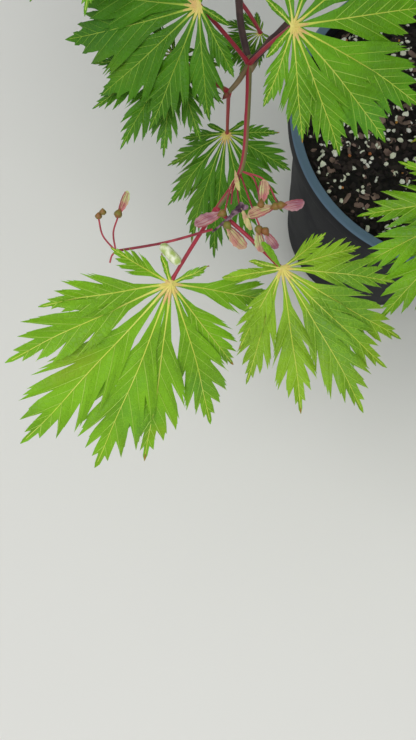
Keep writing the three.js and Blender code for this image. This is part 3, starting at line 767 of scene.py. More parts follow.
# Each detail: the teeth on a big side lobule's near edge and those on a small one's, the steps down its
# far edge, the columns' shares of the half width over the upper face and under it, rows in a midrib,
# rows in a side vein, how many side veins and how many lobules to each side, and the finer veins.
DETAILS = {
    "near": {
        "teeth": (
            (0.12, 0.3),
            (0.25, 0.64),
            (0.42, 0.9),
            (0.52, 1.04),
            (0.55, 0.87),
            (0.75, 1.06),
            (0.79, 0.87),
        ),
        "small_teeth": ((0.3, 0.7), (0.58, 1.08), (0.64, 0.86)),
        "far": ((0.12, 0.91), (0.35, 0.62), (0.75, 0.22)),
        "upper": (-1, -0.66, -0.3, 0, 0.3, 0.66, 1),
        "under": (0.5, 0, -0.5),
        "rib_rows": 14,
        "vein_rows": 4,
        "side_veins": 4,
        "lobules": 4,
        "fine_veins": FINE_VEINS,
    },
    "grown": {
        "teeth": ((0.25, 0.62), (0.5, 1.0), (0.56, 0.83), (0.8, 1.03)),
        "small_teeth": ((0.4, 0.85),),
        "far": ((0.5, 0.4),),
        "upper": (-1, -0.5, 0, 0.5, 1),
        "under": (0,),
        "rib_rows": 6,
        "vein_rows": 3,
        "side_veins": 3,
        "lobules": 4,
        "fine_veins": [],
    },
    "small": {
        "teeth": ((0.3, 0.8),),
        "small_teeth": (),
        "far": (),
        "upper": (-1, 0, 1),
        "under": (0,),
        "rib_rows": 4,
        "vein_rows": 3,
        "side_veins": 0,
        "lobules": 3,
        "fine_veins": [],
    },
}
# How the lobes of one leaf differ: their turn, their length, a bend aside, the tip's sinking, how steeply
# the halves rise, a shift of the left half along the midrib, the lean over the next lobe, and where the
# waves begin; then how the widths of one lobe's rows and halves differ
LOBE_RANGES = [(-0.04, 0.04), (0.96, 1.0), (-0.07, 0.07), (0, 0.05)]
LOBE_RANGES += [(0.14, 0.26), (-0.03, 0.03), (0.07, 0.17), (0, 6.3)]
ROW_WIDTHS = (0.95, 1.04)
HALF_WIDTHS = (0.88, 1.06)
# The blade's relief as shares of its size: fine pleats, slower waves, and the arch of the halves
PLEAT_HEIGHT = 0.008
PLEAT_RATE = 34
WAVE_HEIGHT = 0.012
WAVE_RATE = 11
ARCH = 1.5
BLADE_THICKNESS = 0.0055
# Near the leaf's base the lobes are fused, out to this share of its size
FUSED_BREADTH = 0.215
FUSED_UNTIL = 0.1
FUSED_FADE = 0.04
# Veins are thicker on a larger leaf, by this power of its size. Half widths and heights of the midribs'
# pale feet, and those of the side veins from start to end, are in millimetres on a leaf of 100.
VEIN_POWER = 0.7
VEIN_FOOT = 0.05
RIB_END = 0.97
PALE_UNTIL = 0.1
PALE_HALVES = (1.2, 1.05, 0.9, 0.6)
PALE_RISES = (1.0, 0.95, 0.85, 0.65)
SIDE_VEIN_HALVES = (0.48, 0.18)
SIDE_VEIN_RISES = (0.34, 0.18)
# Red tips: how many lobes have one, their rows along the lobe, and their half widths on a leaf of 1
RED_TIP_CHANCE = 0.16
RED_TIP_AT = (0.95, 0.975, 1.0)
RED_TIP_HALVES = (0.004, 0.009, 0.002)
RED_TIP_RISE = 0.4


def margin(detail, cut):
    """Rows of (share along the midrib, blade's reach along the vein there). Each side lobule rises from
    a sinus by its teeth to its tip, and falls back steeply to the next sinus."""
    rows = list(BASE_ROWS)
    low_at, low = rows[-1]
    ends = (*VEINS_AT[: detail["lobules"]], 1)
    for k, (at, next_at, reach) in enumerate(zip(ends, ends[1:], VEIN_REACH)):
        after_at, after = at + (next_at - at) * SINUS_AT, cut * reach
        teeth = detail["teeth"] if k < 2 else detail["small_teeth"]
        drawn_in = FIRST_DRAWN_IN if k == 0 else 1
        rows += [(low_at + (at - low_at) * f, low + (reach - low) * g * drawn_in) for f, g in teeth]
        rows.append((at, reach))
        if k < 3:
            rows += [(at + (after_at - at) * f, after + (reach - after) * g) for f, g in detail["far"]]
        rows.append((after_at, after))
        low_at, low = after_at, after
    return np.array([*rows, *TIP_ROWS])


def plain_margin(share):
    """The outline of a small lance-shaped lobe: the power 0.8 of a sine that swells before the middle."""
    return 0.2 * np.sin(math.pi * np.clip(share, 0, 1) ** 0.9) ** 0.8 + 0.012 * (1 - share)


class Lobes:
    """The eleven lobes of one leaf as curved sheets, with each one's own small differences."""

    def __init__(self, leaf, seed):
        rng = np.random.default_rng(seed)
        self.leaf, self.rng, self.detail = leaf, rng, DETAILS[leaf.detail]
        self.vein_scale = (leaf.size / 100) ** VEIN_POWER
        turns, lengths, *others = (rng.uniform(*limits, len(ALL_LOBES)) for limits in LOBE_RANGES)
        self.angle = leaf.turned(lobe_angle(ALL_LOBES)) + leaf.turns + turns
        self.length = lobe_length(ALL_LOBES) * leaf.size * leaf.lengths * lengths
        self.bend, self.tip_sink, self.fold, self.offset, self.shingle, self.wave = others

    def surface(self, share, reach, lift):
        """A place on each lobe by the share along its midrib and the signed reach along the slanting
        vein there. The halves rise from the midrib and arch over, each lobe leans so that it lies over
        its neighbour, and the tip sinks with the cube of the share. Arrays are (lobe, row, column)."""
        leaf, size = self.leaf, self.leaf.size
        kinds = (self.angle, self.length, self.bend, self.tip_sink, self.fold, self.shingle, self.wave)
        angle, length, bend, tip_sink, fold, shingle, wave = (a[:, None, None] for a in kinds)
        slant = VEIN_SLANT + FOOT_SLANT * np.clip(1 - share / FOOT_SHARE, 0, 1) ** 2
        forward = (share + np.abs(reach) * np.cos(slant)) * length
        across = reach * np.sin(slant) * length
        wide = np.abs(across) / size
        ripple = PLEAT_HEIGHT * np.sin(share * PLEAT_RATE + wave) * np.clip(wide * 12, 0, 1)
        ripple = ripple + WAVE_HEIGHT * np.sin(share * WAVE_RATE + 2 * wave + 9 * across / size) * share
        height = size * (fold * wide - ARCH * wide**2 + ripple) + shingle * across
        height = height - tip_sink * share**3 * length + lift
        turn = angle + bend * share
        along = forward * np.cos(turn) - across * np.sin(turn)
        aside = forward * np.sin(turn) + across * np.cos(turn)
        return leaf.place(along, aside, height)

    def blades(self):
        """Every lobe as a closed thin shell: the columns run over its upper face and back under it."""
        leaf, detail = self.leaf, self.detail
        at, reach_there = margin(detail, leaf.cut).T
        columns = np.array(detail["upper"] + detail["under"], float)
        left_half = np.where(columns > 0, 1, 0)
        count, rows = len(ALL_LOBES), len(at)
        share = np.broadcast_to(at[None, :, None], (count, rows, len(columns)))
        toothed = leaf.toothed[:, None]
        broad = 1 + (leaf.breadth - 1) * np.clip(2.1 - at * 5, 0, 1)
        width = (reach_there * broad)[None, :] * toothed + plain_margin(at)[None, :] * (1 - toothed)
        width = width * self.rng.uniform(*ROW_WIDTHS, (count, rows))
        left, right = self.rng.uniform(*HALF_WIDTHS, (2, count, 1, 1))
        reach = width[:, :, None] * columns * np.where(left_half, left, right)
        whole = self.length[:, None, None] / leaf.size
        run = share * whole
        fused = FUSED_BREADTH * run * np.clip((FUSED_UNTIL - run) / FUSED_FADE, 0, 1) / whole
        reach = np.where(np.abs(reach) < fused * np.abs(columns), fused * columns, reach)
        shift = self.offset[:, None, None] * left_half * np.sin(share * math.pi) * np.abs(columns)
        lift = np.zeros(len(columns))
        lift[-len(detail["under"]) :] = -BLADE_THICKNESS * leaf.size
        faces = many(tube_faces(rows, len(columns)), count, rows * len(columns))
        return self.surface(share + shift, reach, lift), faces

    def ribs(self):
        """A low ridge along each midrib, broad and merging at the leaf's base, fine at the tip."""
        share = np.linspace(0, RIB_END, self.detail["rib_rows"]) ** 1.3
        half = 0.24 + 0.48 * (1 - share) ** 0.8 + 0.45 * np.exp(-share / 0.06)
        rise = 0.25 + 0.35 * (1 - share)
        return self.ridge(share, 0.0, self.vein_scale * half, self.vein_scale * rise)

    def hearts(self):
        """The pale foot of each midrib, where they all merge."""
        half, rise = self.vein_scale * np.array((PALE_HALVES, PALE_RISES))
        return self.ridge(np.linspace(0, PALE_UNTIL, len(half)), 0.0, half, rise)

    def side_ribs(self, heap):
        """Ridges along the side veins, thinner outwards, and finer ones between them on a near leaf."""
        rows = self.detail["vein_rows"]
        steps = np.linspace(0.02, 1, rows)
        half = self.vein_scale * np.linspace(*SIDE_VEIN_HALVES, rows)
        rise = self.vein_scale * np.linspace(*SIDE_VEIN_RISES, rows)
        veins = [(at, reach, 1) for at, reach in zip(VEINS_AT, VEIN_REACH)][: self.detail["side_veins"]]
        veins += [(at, reach, FINE_VEIN_WIDTH) for at, reach in self.detail["fine_veins"]]
        for at, reach, share in veins:
            for hand in (1, -1):
                foot = at + self.offset[:, None] * (hand > 0) * math.sin(at * math.pi) * steps
                along = hand * reach * steps * (0.3 + 0.6 * self.leaf.toothed[:, None])
                heap.add(*self.ridge(foot, along, half * share, rise * share))

    def red_tips(self, heap):
        """A reddened tip on some lobes: a narrow cap over the last twentieth."""
        half = self.leaf.size * np.array(RED_TIP_HALVES)
        points, _ = self.ridge(np.array(RED_TIP_AT), 0.0, half, RED_TIP_RISE * half)
        for number in np.flatnonzero(self.rng.uniform(0, 1, len(ALL_LOBES)) < RED_TIP_CHANCE):
            heap.add(points[number], tube_faces(3, 3))

    def ridge(self, share, reach, half, rise):
        """A three-cornered ridge on every lobe: its feet stand a half width to each side of the line,
        which is the midrib where the reach is nought, and otherwise a side vein."""
        count, rows = len(ALL_LOBES), np.shape(share)[-1]
        share = np.broadcast_to(share, (count, rows))[..., None]
        reach = np.broadcast_to(reach, (count, rows))[..., None]
        feet = np.array((-1, 0, 1)) * (half / self.length[:, None])[..., None]
        if np.any(reach):
            share, reach = share + feet, reach + 0 * feet
        else:
            share, reach = share + 0 * feet, reach + feet
        lift = np.where((False, True, False), rise[:, None], VEIN_FOOT)
        return self.surface(share, reach, lift), many(tube_faces(rows, 3), count, rows * 3)


# Finishes


def colour(red, green, blue):
    """A colour by its display values from 0 to 255, as linear light."""
    shares = [c / 255 for c in (red, green, blue)]
    return (*[c / 12.92 if c <= 0.04045 else ((c + 0.055) / 1.055) ** 2.4 for c in shares], 1.0)


def operator(operation, reflected=False):
    """A method that adds a Math node to a socket, which comes second where the operator is reflected."""

    def apply(self, other):
        first, second = (other, self) if reflected else (self, other)
        return self.finish.node("ShaderNodeMath", {"operation": operation}, {0: first, 1: second})

    return apply


class Value:
    """A shader socket that takes part in sums, differences, products and powers."""

    def __init__(self, finish, socket):
        self.finish, self.socket = finish, socket

    __add__ = __radd__ = operator("ADD")
    __sub__ = operator("SUBTRACT")
    __rsub__ = operator("SUBTRACT", True)
    __mul__ = __rmul__ = operator("MULTIPLY")
    __pow__ = operator("POWER")


class Finish:
    """A material with one Principled shader, and its nodes made by one method."""

    def __init__(self, name):
        self.material = bpy.data.materials.new(name)
        self.material.use_nodes = True
        self.tree = self.material.node_tree
        self.shader = self.tree.nodes["Principled BSDF"]
        self.place = self.node("ShaderNodeTexCoord", output="Object")

    def node(self, kind, settings=None, inputs=None, output=0):
        node = self.tree.nodes.new(kind)
        for key, value in (settings or {}).items():
            setattr(node, key, value)
        for key, value in (inputs or {}).items():
            self.feed(node.inputs[key], value)
        return Value(self, node.outputs[output])

    def feed(self, socket, value):
        if isinstance(value, Value):
            self.tree.links.new(value.socket, socket)
        else:
            socket.default_value = value

    def noise(self, scale, detail, stretch=(1, 1, 1)):
        at = self.node("ShaderNodeMapping", None, {"Vector": self.place, "Scale": stretch})
        return self.node("ShaderNodeTexNoise", None, {"Vector": at, "Scale": scale, "Detail": detail})

    def cells(self, scale, feature="F1"):
        inputs = {"Vector": self.place, "Scale": scale}
        return self.node("ShaderNodeTexVoronoi", {"feature": feature}, inputs)

    def along(self, vector, axis):
        """One coordinate of a vector: 0 for x, 1 for y and 2 for z."""
        return self.node("ShaderNodeSeparateXYZ", None, {0: vector}, output=axis)

    def facing(self, axis):
        """How far the surface faces along an axis."""
        return self.along(self.node("ShaderNodeTexCoord", output="Normal"), axis)

    def step(self, value, low, high):
        """0 below low, 1 above high, and smooth between."""
        settings = {"interpolation_type": "SMOOTHSTEP"}
        return self.node("ShaderNodeMapRange", settings, {0: value, 1: low, 2: high, 3: 0.0, 4: 1.0})

    def mix(self, share, a, b):
        return self.node("ShaderNodeMix", {"data_type": "RGBA"}, {0: share, 6: a, 7: b}, output=2)

    def bump(self, height, strength, distance):
        inputs = {"Height": height, "Strength": strength, "Distance": distance}
        return self.node("ShaderNodeBump", None, inputs)

    def made(self, base, roughness, bump=None, specular=0.5):
        self.feed(self.shader.inputs["Base Color"], base)
        self.feed(self.shader.inputs["Roughness"], roughness)
        self.shader.inputs["Specular IOR Level"].default_value = specular
        if bump is not None:
            self.feed(self.shader.inputs["Normal"], bump)
        return self.material


def shaded(tone, share):
    return (*[min(1.0, c * share) for c in tone[:3]], 1.0)


def leaf_finish(name, tone, painted_sheen, warm):
    """Blade green, cloudy by a tenth, with cooler patches of painted sheen and warmer patches, and a fine
    net of small veins in relief."""
    f = Finish(name)
    tone, painted_sheen, warm = colour(*tone), colour(*painted_sheen), colour(*warm)
    cloud = f.step(f.noise(38, 4), 0.35, 0.68)
    base = f.mix(cloud, shaded(tone, 0.8), shaded(tone, 1.14))
    # bluish cooler patches: painted sheen
    base = f.mix(f.step(f.noise(21, 2), 0.52, 0.68) * 0.4, base, painted_sheen)
    base = f.mix(f.step(f.noise(16, 2, (1, 1, 2)), 0.58, 0.76) * 0.45, base, warm)
    net = f.step(f.cells(420, "DISTANCE_TO_EDGE"), 0.0, 0.12)
    base = f.mix((1 - net) * 0.3, base, shaded(tone, 1.5))
    relief = net * 0.6 + f.noise(220, 2) * 0.9 + f.noise(90, 2) * 1.5
    return f.made(base, 0.42 + cloud * 0.14, f.bump(relief, 0.5, 0.0006), 0.28)


def plain_finish(name, dark, light, scale, roughness, relief=0.0003):
    """Two tones mixed by a noise, with the same noise as a fine relief."""
    f = Finish(name)
    cloud = f.noise(scale, 4)
    base = f.mix(f.step(cloud, 0.35, 0.65), colour(*dark), colour(*light))
    fine = f.noise(scale * 6, 3)
    return f.made(base, roughness + fine * 0.1, f.bump(fine + cloud, 0.4, relief), 0.4)


def light_and_shade_stem_finish(name, away, toward, axis, low, high):
    """A young stem of two colours, by whether its skin faces away from an axis or toward it, a little
    blotched. The two colours are painted light and shade, the side toward the lights lit and the far side
    shaded; on the shoot they are also its own red and olive."""
    f = Finish(name)
    # painted light and shade: the tone follows how the skin faces the lights
    light_shade_and_blotches = f.facing(axis) + f.noise(60, 2) * 0.5
    base = f.mix(f.step(light_shade_and_blotches, low, high), colour(*away), colour(*toward))
    return f.made(base, 0.42, f.bump(f.noise(300, 2, (1, 0.2, 1)), 0.3, 0.0002), 0.35)


def bark_finish():
    """Purple-brown young bark, greyer low down, with fine upright streaks and pale lenticels."""
    f = Finish("young_bark")
    streak = f.noise(160, 4, (1, 1, 0.12))
    tone = f.mix(f.step(f.along(f.place, 2), 0.24, 0.5), colour(96, 82, 70), colour(98, 70, 68))
    tone = f.mix(f.step(streak, 0.42, 0.62), tone, colour(58, 44, 43))
    tone = f.mix(f.step(f.noise(45, 3), 0.55, 0.7) * 0.5, tone, colour(112, 112, 82))
    spots = 1 - f.step(f.cells(260), 0.12, 0.24)
    tone = f.mix(spots * 0.7, tone, colour(168, 150, 128))
    return f.made(tone, 0.62 + streak * 0.2, f.bump(streak + spots * 0.8, 0.6, 0.0006))


def pot_finish():
    """Slate blue-grey moulded plastic with painted light and shade: nearly black as painted shade on the
    wall, where it faces down and inside, and blue-grey as painted light on the lip's upward face; a little
    dusty, and scuffed in fine level lines."""
    f = Finish("pot_plastic")
    dust = f.step(f.noise(26, 5), 0.45, 0.75)
    grain = f.noise(900, 2)
    scuff = f.step(f.noise(220, 4, (0.4, 0.4, 3)), 0.6, 0.72)
    x, y, height = (f.along(f.place, axis) for axis in range(3))
    radius = (x * x + y * y) ** 0.5
    # painted light and shade: the lip's upward face is painted lit blue-grey, and everything else is
    # painted shaded near black
    lit_lip_face = f.step(height, 0.222, 0.226) * f.step(radius, 0.1285, 0.1305) * f.step(f.facing(2), 0.1, 0.5)
    tone = f.mix(lit_lip_face, colour(18, 19, 25), colour(104, 128, 152))
    tone = f.mix(dust * 0.04, tone, colour(98, 100, 104))
    tone = f.mix(scuff * 0.06, tone, colour(134, 144, 154))
    return f.made(tone, 0.6 - lit_lip_face * 0.15 + dust * 0.15, f.bump(grain + scuff, 0.15, 0.0003), 0.15)


def floor_finish():
    f = Finish("pale_floor")
    return f.made(f.mix(f.noise(3, 3) * 0.3, colour(226, 225, 221), colour(216, 215, 211)), 0.75)


# Leaf greens: the blade's tone, and those of its cooler patches, which are painted sheen, and its warmer
# patches
PAINTED_SHEEN = (72, 142, 52)
WARM = (146, 158, 34)
LEAF_FINISHES = {
    # bright, mid and deep are lighter and darker copies of one green: partly each leaf's own tone, partly
    # painted light and shade
    "bright": ("leaf_bright", (117, 170, 20), PAINTED_SHEEN, WARM),
    "mid": ("leaf_mid", (97, 152, 16), PAINTED_SHEEN, WARM),
    "deep": ("leaf_deep", (70, 124, 12), (46, 104, 36), (98, 134, 22)),
    "fresh": ("leaf_fresh", (134, 176, 34), PAINTED_SHEEN, (170, 146, 56)),
}
# Plain finishes: two tones, the scale of their noise, roughness, and the relief in metres
PLAIN_FINISHES = {
    "vein": ("leaf_veins", (212, 220, 90), (222, 226, 112), 60, 0.5),
    "side_vein": ("leaf_side_veins", (166, 202, 76), (180, 212, 96), 60, 0.5),
    # darker veins for the deep leaves, partly painted shade like their blades
    "deep_vein": ("deep_leaf_veins", (160, 188, 66), (174, 200, 82), 60, 0.5),
    "deep_side_vein": ("deep_side_veins", (124, 170, 52), (140, 182, 68), 60, 0.5),
    "heart": ("leaf_heart", (226, 214, 118), (224, 184, 126), 130, 0.5),
    "scorch": ("leaf_tip_red", (146, 96, 46), (168, 124, 58), 200, 0.6),
    "olive": ("olive_twig", (112, 100, 66), (134, 112, 84), 120, 0.5),
    "twig": ("twig_bark", (66, 46, 50), (92, 66, 64), 120, 0.5),
    "bud": ("bud", (96, 34, 42), (136, 72, 56), 300, 0.45),
    "scale": ("bud_scale", (206, 200, 132), (196, 158, 128), 260, 0.6),
    "pod": ("pod", (168, 190, 104), (236, 238, 212), 320, 0.35),
    "wing": ("fruit_wing", (190, 104, 112), (184, 194, 130), 110, 0.5, 0.0006),
    "dull_wing": ("dull_wing", (186, 146, 146), (152, 96, 116), 150, 0.5, 0.0006),
    "wing_line": ("wing_veins", (142, 58, 74), (176, 104, 104), 200, 0.5),
    "dry": ("dry_scales", (62, 36, 54), (158, 124, 142), 300, 0.7, 0.0008),
    "nutlet": ("nutlet", (120, 122, 46), (140, 92, 52), 220, 0.45),
    "pedicel": ("pedicel", (136, 38, 56), (182, 68, 82), 120, 0.4),
    "soil": ("dark_mix", (14, 12, 11), (36, 30, 27), 160, 0.9, 0.002),
    "chip": ("bark_chip", (24, 20, 19), (54, 44, 41), 60, 0.85, 0.001),
    "brown_chip": ("brown_chip", (104, 84, 78), (150, 124, 114), 90, 0.8, 0.001),
    "perlite": ("perlite", (255, 253, 246), (238, 239, 216), 70, 0.85, 0.0008),
    "bead": ("feed_bead", (206, 152, 56), (184, 104, 66), 90, 0.4),
}
# Young stems: their tone where they face away from the axis and toward it, the axis (0 for x, 2 for z),
# and between which values of the facing the tones pass into each other. The tones are painted light and
# shade: the petiole is painted lit red above and shaded dark below, and the shoot lit red on its left and
# olive on its right, partly its own colour and partly painted shade.
STEM_FINISHES = {
    "petiole": ("petiole_red", (100, 44, 48), (166, 48, 66), 2, -0.8, 0.1),
    "shoot": ("young_shoot", (158, 48, 66), (122, 116, 76), 0, -0.05, 0.5),
}


def finishes():
    looks = {"bark": bark_finish(), "pot": pot_finish()}
    for make, table in (
        (leaf_finish, LEAF_FINISHES),
        (plain_finish, PLAIN_FINISHES),
        (light_and_shade_stem_finish, STEM_FINISHES),
    ):
        looks.update({key: make(*row) for key, row in table.items()})
    return looks


# Pieces


# Limbs: how finely they are drawn, and how the root's flare, the collar at a bough's foot and the low
# rings at nodes swell them, as shares of the radius
BARK_SPAN_STEPS = 14
BARK_STEP = 1.6
ROOT_SWELL = 0.75
ROOT_RIDGE = 0.4
ROOT_RIDGES = 4
ROOT_SUNK = 1.5
COLLAR_SWELL = 0.45
COLLAR_LENGTH = 7
COLLAR_FADE = 4
FIRST_RING = 30
RING_GAP = 34
RING_SHIFT = 4
RING_SWELL = 0.07
RING_WIDTH = 1.6
# The bark's relief: how often each slow wave goes round, the limits of its height, of its pitch along the
# limb and of its phase, the fine ridges round a limb, and the shares of waves, ridges and grain
BARK_WAVES = (1, 2, 3, 5)
BARK_WAVE_LIMITS = ((0.2, 0.5), (0.02, 0.12), (0, 6))
BARK_RIDGES = 9
WAVE_SHARE = 0.035
RIDGE_SHARE = 0.02
GRAIN_SHARE = 0.012
# Twigs and petioles
TWIG_SPAN_STEPS = 6
TWIG_STEP = 3.0
KNOT_SWELL = 0.34
KNOT_WIDTH = 2.4
PETIOLE_POINTS = 9
PETIOLE_UNDER = 0.8


def limb_radius(radii, shares):
    return radii[0] + (radii[1] - radii[0]) * shares


def bark_tube(line, radii, sides, seed, flare):
    """A limb with its bark's relief: the radius tapers, swells in a collar where the limb leaves its
    parent and in a low ring at each node, and carries slow waves and fine upright ridges. The trunk's
    foot swells into four ridges instead."""
    points, at, run = resampled(smooth(line, BARK_SPAN_STEPS), BARK_STEP)
    rng = np.random.default_rng(seed)
    angle = circle(sides)
    along = at[:, None]
    base = limb_radius(radii, at / run[-1])[:, None] * np.ones(sides)
    if flare:
        swell = ROOT_FLARE * np.exp(-(points[:, 2] - points[0, 2]) / FLARE_HEIGHT)
        base = base + swell[:, None] * (ROOT_SWELL + ROOT_RIDGE * np.cos(ROOT_RIDGES * angle))
    else:
        base = base * (1 + COLLAR_SWELL * np.exp(-np.maximum(along - COLLAR_LENGTH, 0) / COLLAR_FADE))
    rings = np.arange(FIRST_RING, run[-1], RING_GAP)
    for ring in rings + rng.uniform(-RING_SHIFT, RING_SHIFT, len(rings)):
        base = base * (1 + RING_SWELL * np.exp(-(((along - ring) / RING_WIDTH) ** 2)))
    waves = 0
    for n in BARK_WAVES:
        height, pitch, phase = (rng.uniform(*limits) for limits in BARK_WAVE_LIMITS)
        waves = waves + height * np.sin(n * angle + along * pitch + phase)
    ridges = np.sin(BARK_RIDGES * angle + 1.2 * np.sin(along * 0.13) + rng.uniform(0, 6))
    ridges = ridges * np.sin(along * 0.21 + 2 * angle)
    grain = rng.uniform(-1, 1, (len(at), sides))
    base = base * (1 + WAVE_SHARE * waves + RIDGE_SHARE * ridges + GRAIN_SHARE * grain)
    if flare:
        points[0, 2] = TRUNK_FOOT
    rings, faces = tube(points, base, sides)
    if flare:
        rings[0, :, 2] = TRUNK_FOOT - ROOT_SUNK
    return rings, faces


def knotted_tube(line, radii, sides, step=TWIG_STEP, knot=KNOT_SWELL):
    """A twig: it bends softly at its nodes, swells there, and tapers to its tip."""
    per_span = TWIG_SPAN_STEPS if len(line) > 2 else 1
    points, at, run = resampled(smooth(line, per_span), step)
    radius = limb_radius(radii, at / run[-1])
    for node in range(1, len(line) - 1):
        radius = radius * (1 + knot * np.exp(-(((at - run[per_span * node]) / KNOT_WIDTH) ** 2)))
    return tube(points, radius, sides)


def petiole_line(leaf, rise):
    """From the node to the leaf's base on a low arch: the rise times four times share times the rest."""
    share = np.linspace(0, 1, PETIOLE_POINTS)[:, None]
    end = leaf.centre - PETIOLE_UNDER * leaf.normal
    return leaf.root + (end - leaf.root) * share + UP * (rise * 4 * share * (1 - share))


def pointed_bud(at, direction, length, radius):
    """A small ovoid: its radius is the sine of pi times the share's power 0.7, and a little more at the
    foot, drawn to a point."""
    share = np.linspace(0, 1, 6)
    line = vec(at) + unit(vec(direction)) * (length * share)[:, None]
    return tube(line, radius * np.clip(np.sin(math.pi * share**0.7) + 0.25 * (1 - share), 0.04, None), 6)


def redraw_leaves(plant):
    """The leaves that were compared lobe by lobe take their own roll, lengths and angles."""
    for number, (roll, lengths, turns, toothed) in DRAWN.items():
        at, heading, dip, _, *rest = LOW_LEAVES[number]
        leaf = Leaf(at, heading, dip, roll, *rest, detail="near")
        leaf.root = plant.leaves[number].root
        leaf.lengths, leaf.turns, leaf.toothed = np.array(lengths), np.radians(turns), np.array(toothed)
        plant.leaves[number] = leaf


# The pieces of the foliage besides the blades, by their finishes
FOLIAGE_PIECES = {
    "vein": "leaf_veins",
    "side_vein": "leaf_side_veins",
    "deep_vein": "deep_leaf_veins",
    "deep_side_vein": "deep_leaf_side_veins",
    "heart": "leaf_hearts",
    "scorch": "leaf_red_tips",
    "petiole": "petioles",
    "twig": "older_twigs",
    "shoot": "young_shoots",
    "olive": "olive_twigs",
    "bud": "buds",
}
TINTS = ("bright", "mid", "deep", "fresh")
TINT_SHARES = (0.3, 0.4, 0.2, 0.1)
BREADTHS = (0.9, 1.35)
# Petioles: the limits of their arch, their radii at shares of their length, and those of small leaves
ARCH_RISES = (0.5, 2.5)
PETIOLE_PLACES = (0, 0.12, 0.9, 1)
PETIOLE_RADII = (1.7, 1.05, 0.9, 1.35)
SMALL_PETIOLE = 0.62
# Twigs by level, and those of the low shoot: their kinds, sides, the step along them and their knots
TWIG_KINDS = ("twig", "shoot", "olive")
TWIG_SIDES = (8, 8, 6)
LOW_TWIG_KINDS = ("twig", "shoot", "olive", "twig")
LOW_TWIG_GRID = (14, 1.5, 0.08)
OLDEST_TWIG = 0.78
BARE_TWIG_GRID = (12, 1.5)
# A bud at the low shoot's fork: its place from there, direction, length and radius
FORK_BUD = ((0.6, 4.5, 0.2), (0.1, -1, -0.05), 9, 3.1)
# Buds in pairs and at tips: length and radius, or radius as a share of the twig's
PAIR_BUD = (4.2, 1.0)
PAIR_BUD_OUT = 0.8
TIP_BUD_LENGTH = 5.0
TIP_BUD_SHARE = 1.15
# The pale disc of a leaf: its radius as a share of the leaf's size, its outline, and how it stands up
HEART_SHARE = 0.018
HEART_OUTLINE = ((0, 1), (0.6, 0.85), (1, 0), (0.6, -0.7), (0, -0.9))
HEART_HEIGHT = 0.4
HEART_LIFT = 0.3
HEART_SIDES = 10
HAIR = 0.01


def make_foliage(plant, looks):
    heaps = {name: Heap() for name in (*TINTS, *FOLIAGE_PIECES)}
    rng = np.random.default_rng(5)
    for number, leaf in enumerate(plant.leaves):
        small = leaf.detail == "small"
        if leaf.detail != "near":
            leaf.tint = TINTS[rng.choice(4, p=TINT_SHARES)]
            leaf.breadth = rng.uniform(*BREADTHS)
        lobes = Lobes(leaf, 100 + number)
        heaps[leaf.tint].add(*lobes.blades())
        # the deep leaves take the darker veins, partly painted shade
        tone = "deep_" if leaf.tint == "deep" else ""
        heaps[tone + "vein"].add(*lobes.ribs())
        lobes.side_ribs(heaps[tone + "side_vein"])
        add_heart(heaps["heart"], leaf)
        if not small:
            heaps["heart"].add(*lobes.hearts())
            lobes.red_tips(heaps["scorch"])
        line = petiole_line(leaf, rng.uniform(*ARCH_RISES))
        radii = np.interp(np.linspace(0, 1, len(line)), PETIOLE_PLACES, PETIOLE_RADII)
        heaps["petiole"].add(*tube(line, radii * (SMALL_PETIOLE if small else 1), 8))
    for crown in plant.crowns:
        for line, radii, level in crown.twigs:
            heaps[TWIG_KINDS[level]].add(*knotted_tube(line, radii, TWIG_SIDES[level]))
            add_buds(heaps["bud"], line, radii, rng)
    heaps["shoot"].add(*knotted_tube(*plant.leaning, 8))
    add_buds(heaps["bud"], *plant.leaning, rng)
    for number, (line, radii) in enumerate(plant.low_twigs):
        thin = 1 if number else OLDEST_TWIG
        twig = knotted_tube(line, (radii[0] * thin, radii[1] * thin), *LOW_TWIG_GRID)
        heaps[LOW_TWIG_KINDS[number]].add(*twig)
        if number:
            add_buds(heaps["bud"], line[-2:], radii, rng)
    heaps["twig"].add(*knotted_tube(BARE_TWIG[1], BARE_TWIG[0], *BARE_TWIG_GRID))
    off, *fork_bud = FORK_BUD
    heaps["olive"].add(*pointed_bud(vec(LOW_TWIGS[1][1][0]) + vec(off), *fork_bud))
    put_in_shares("leaf_blades_mid", heaps["mid"], looks["mid"], [LOW_SHOOT, *MASSES])
    for tint in ("bright", "deep", "fresh"):
        put_in_shares(f"leaf_blades_{tint}", heaps[tint], looks[tint])
    for kind, name in FOLIAGE_PIECES.items():
        put_in_shares(name, heaps[kind], looks[kind])


def add_heart(heap, leaf):
    """The pale disc where the lobes meet: a low dome over the base and a shallow one under it. Each is
    drawn to a hair's breadth at its middle."""
    size = leaf.size * HEART_SHARE
    radius, height = np.array(HEART_OUTLINE).T[..., None]
    angle = circle(HEART_SIDES)
    along, aside = size * radius * np.cos(angle), size * radius * np.sin(angle)
    along[[0, -1]] = HAIR * np.cos(angle)
    lift = np.broadcast_to(HEART_HEIGHT * size * height + HEART_LIFT, along.shape)
    heap.add(leaf.place(along, aside, lift), tube_faces(*along.shape))


def add_buds(heap, line, radii, rng):
    """A pair of small pointed buds at each node, and a longer one at the tip."""
    for place, before in zip(line[1:-1], line):
        direction = unit(place - before)
        for toward in pair_across(direction, rng.uniform(0, math.pi)):
            foot = place + toward * radii[1] * PAIR_BUD_OUT
            heap.add(*pointed_bud(foot, direction * 0.8 + toward * 0.5, *PAIR_BUD))
    direction = unit(line[-1] - line[-2])
    foot = line[-1] - direction * 0.5
    heap.add(*pointed_bud(foot, direction, TIP_BUD_LENGTH, radii[1] * TIP_BUD_SHARE))


TRUNK_SIDES = 44
BOUGH_SIDES = 28


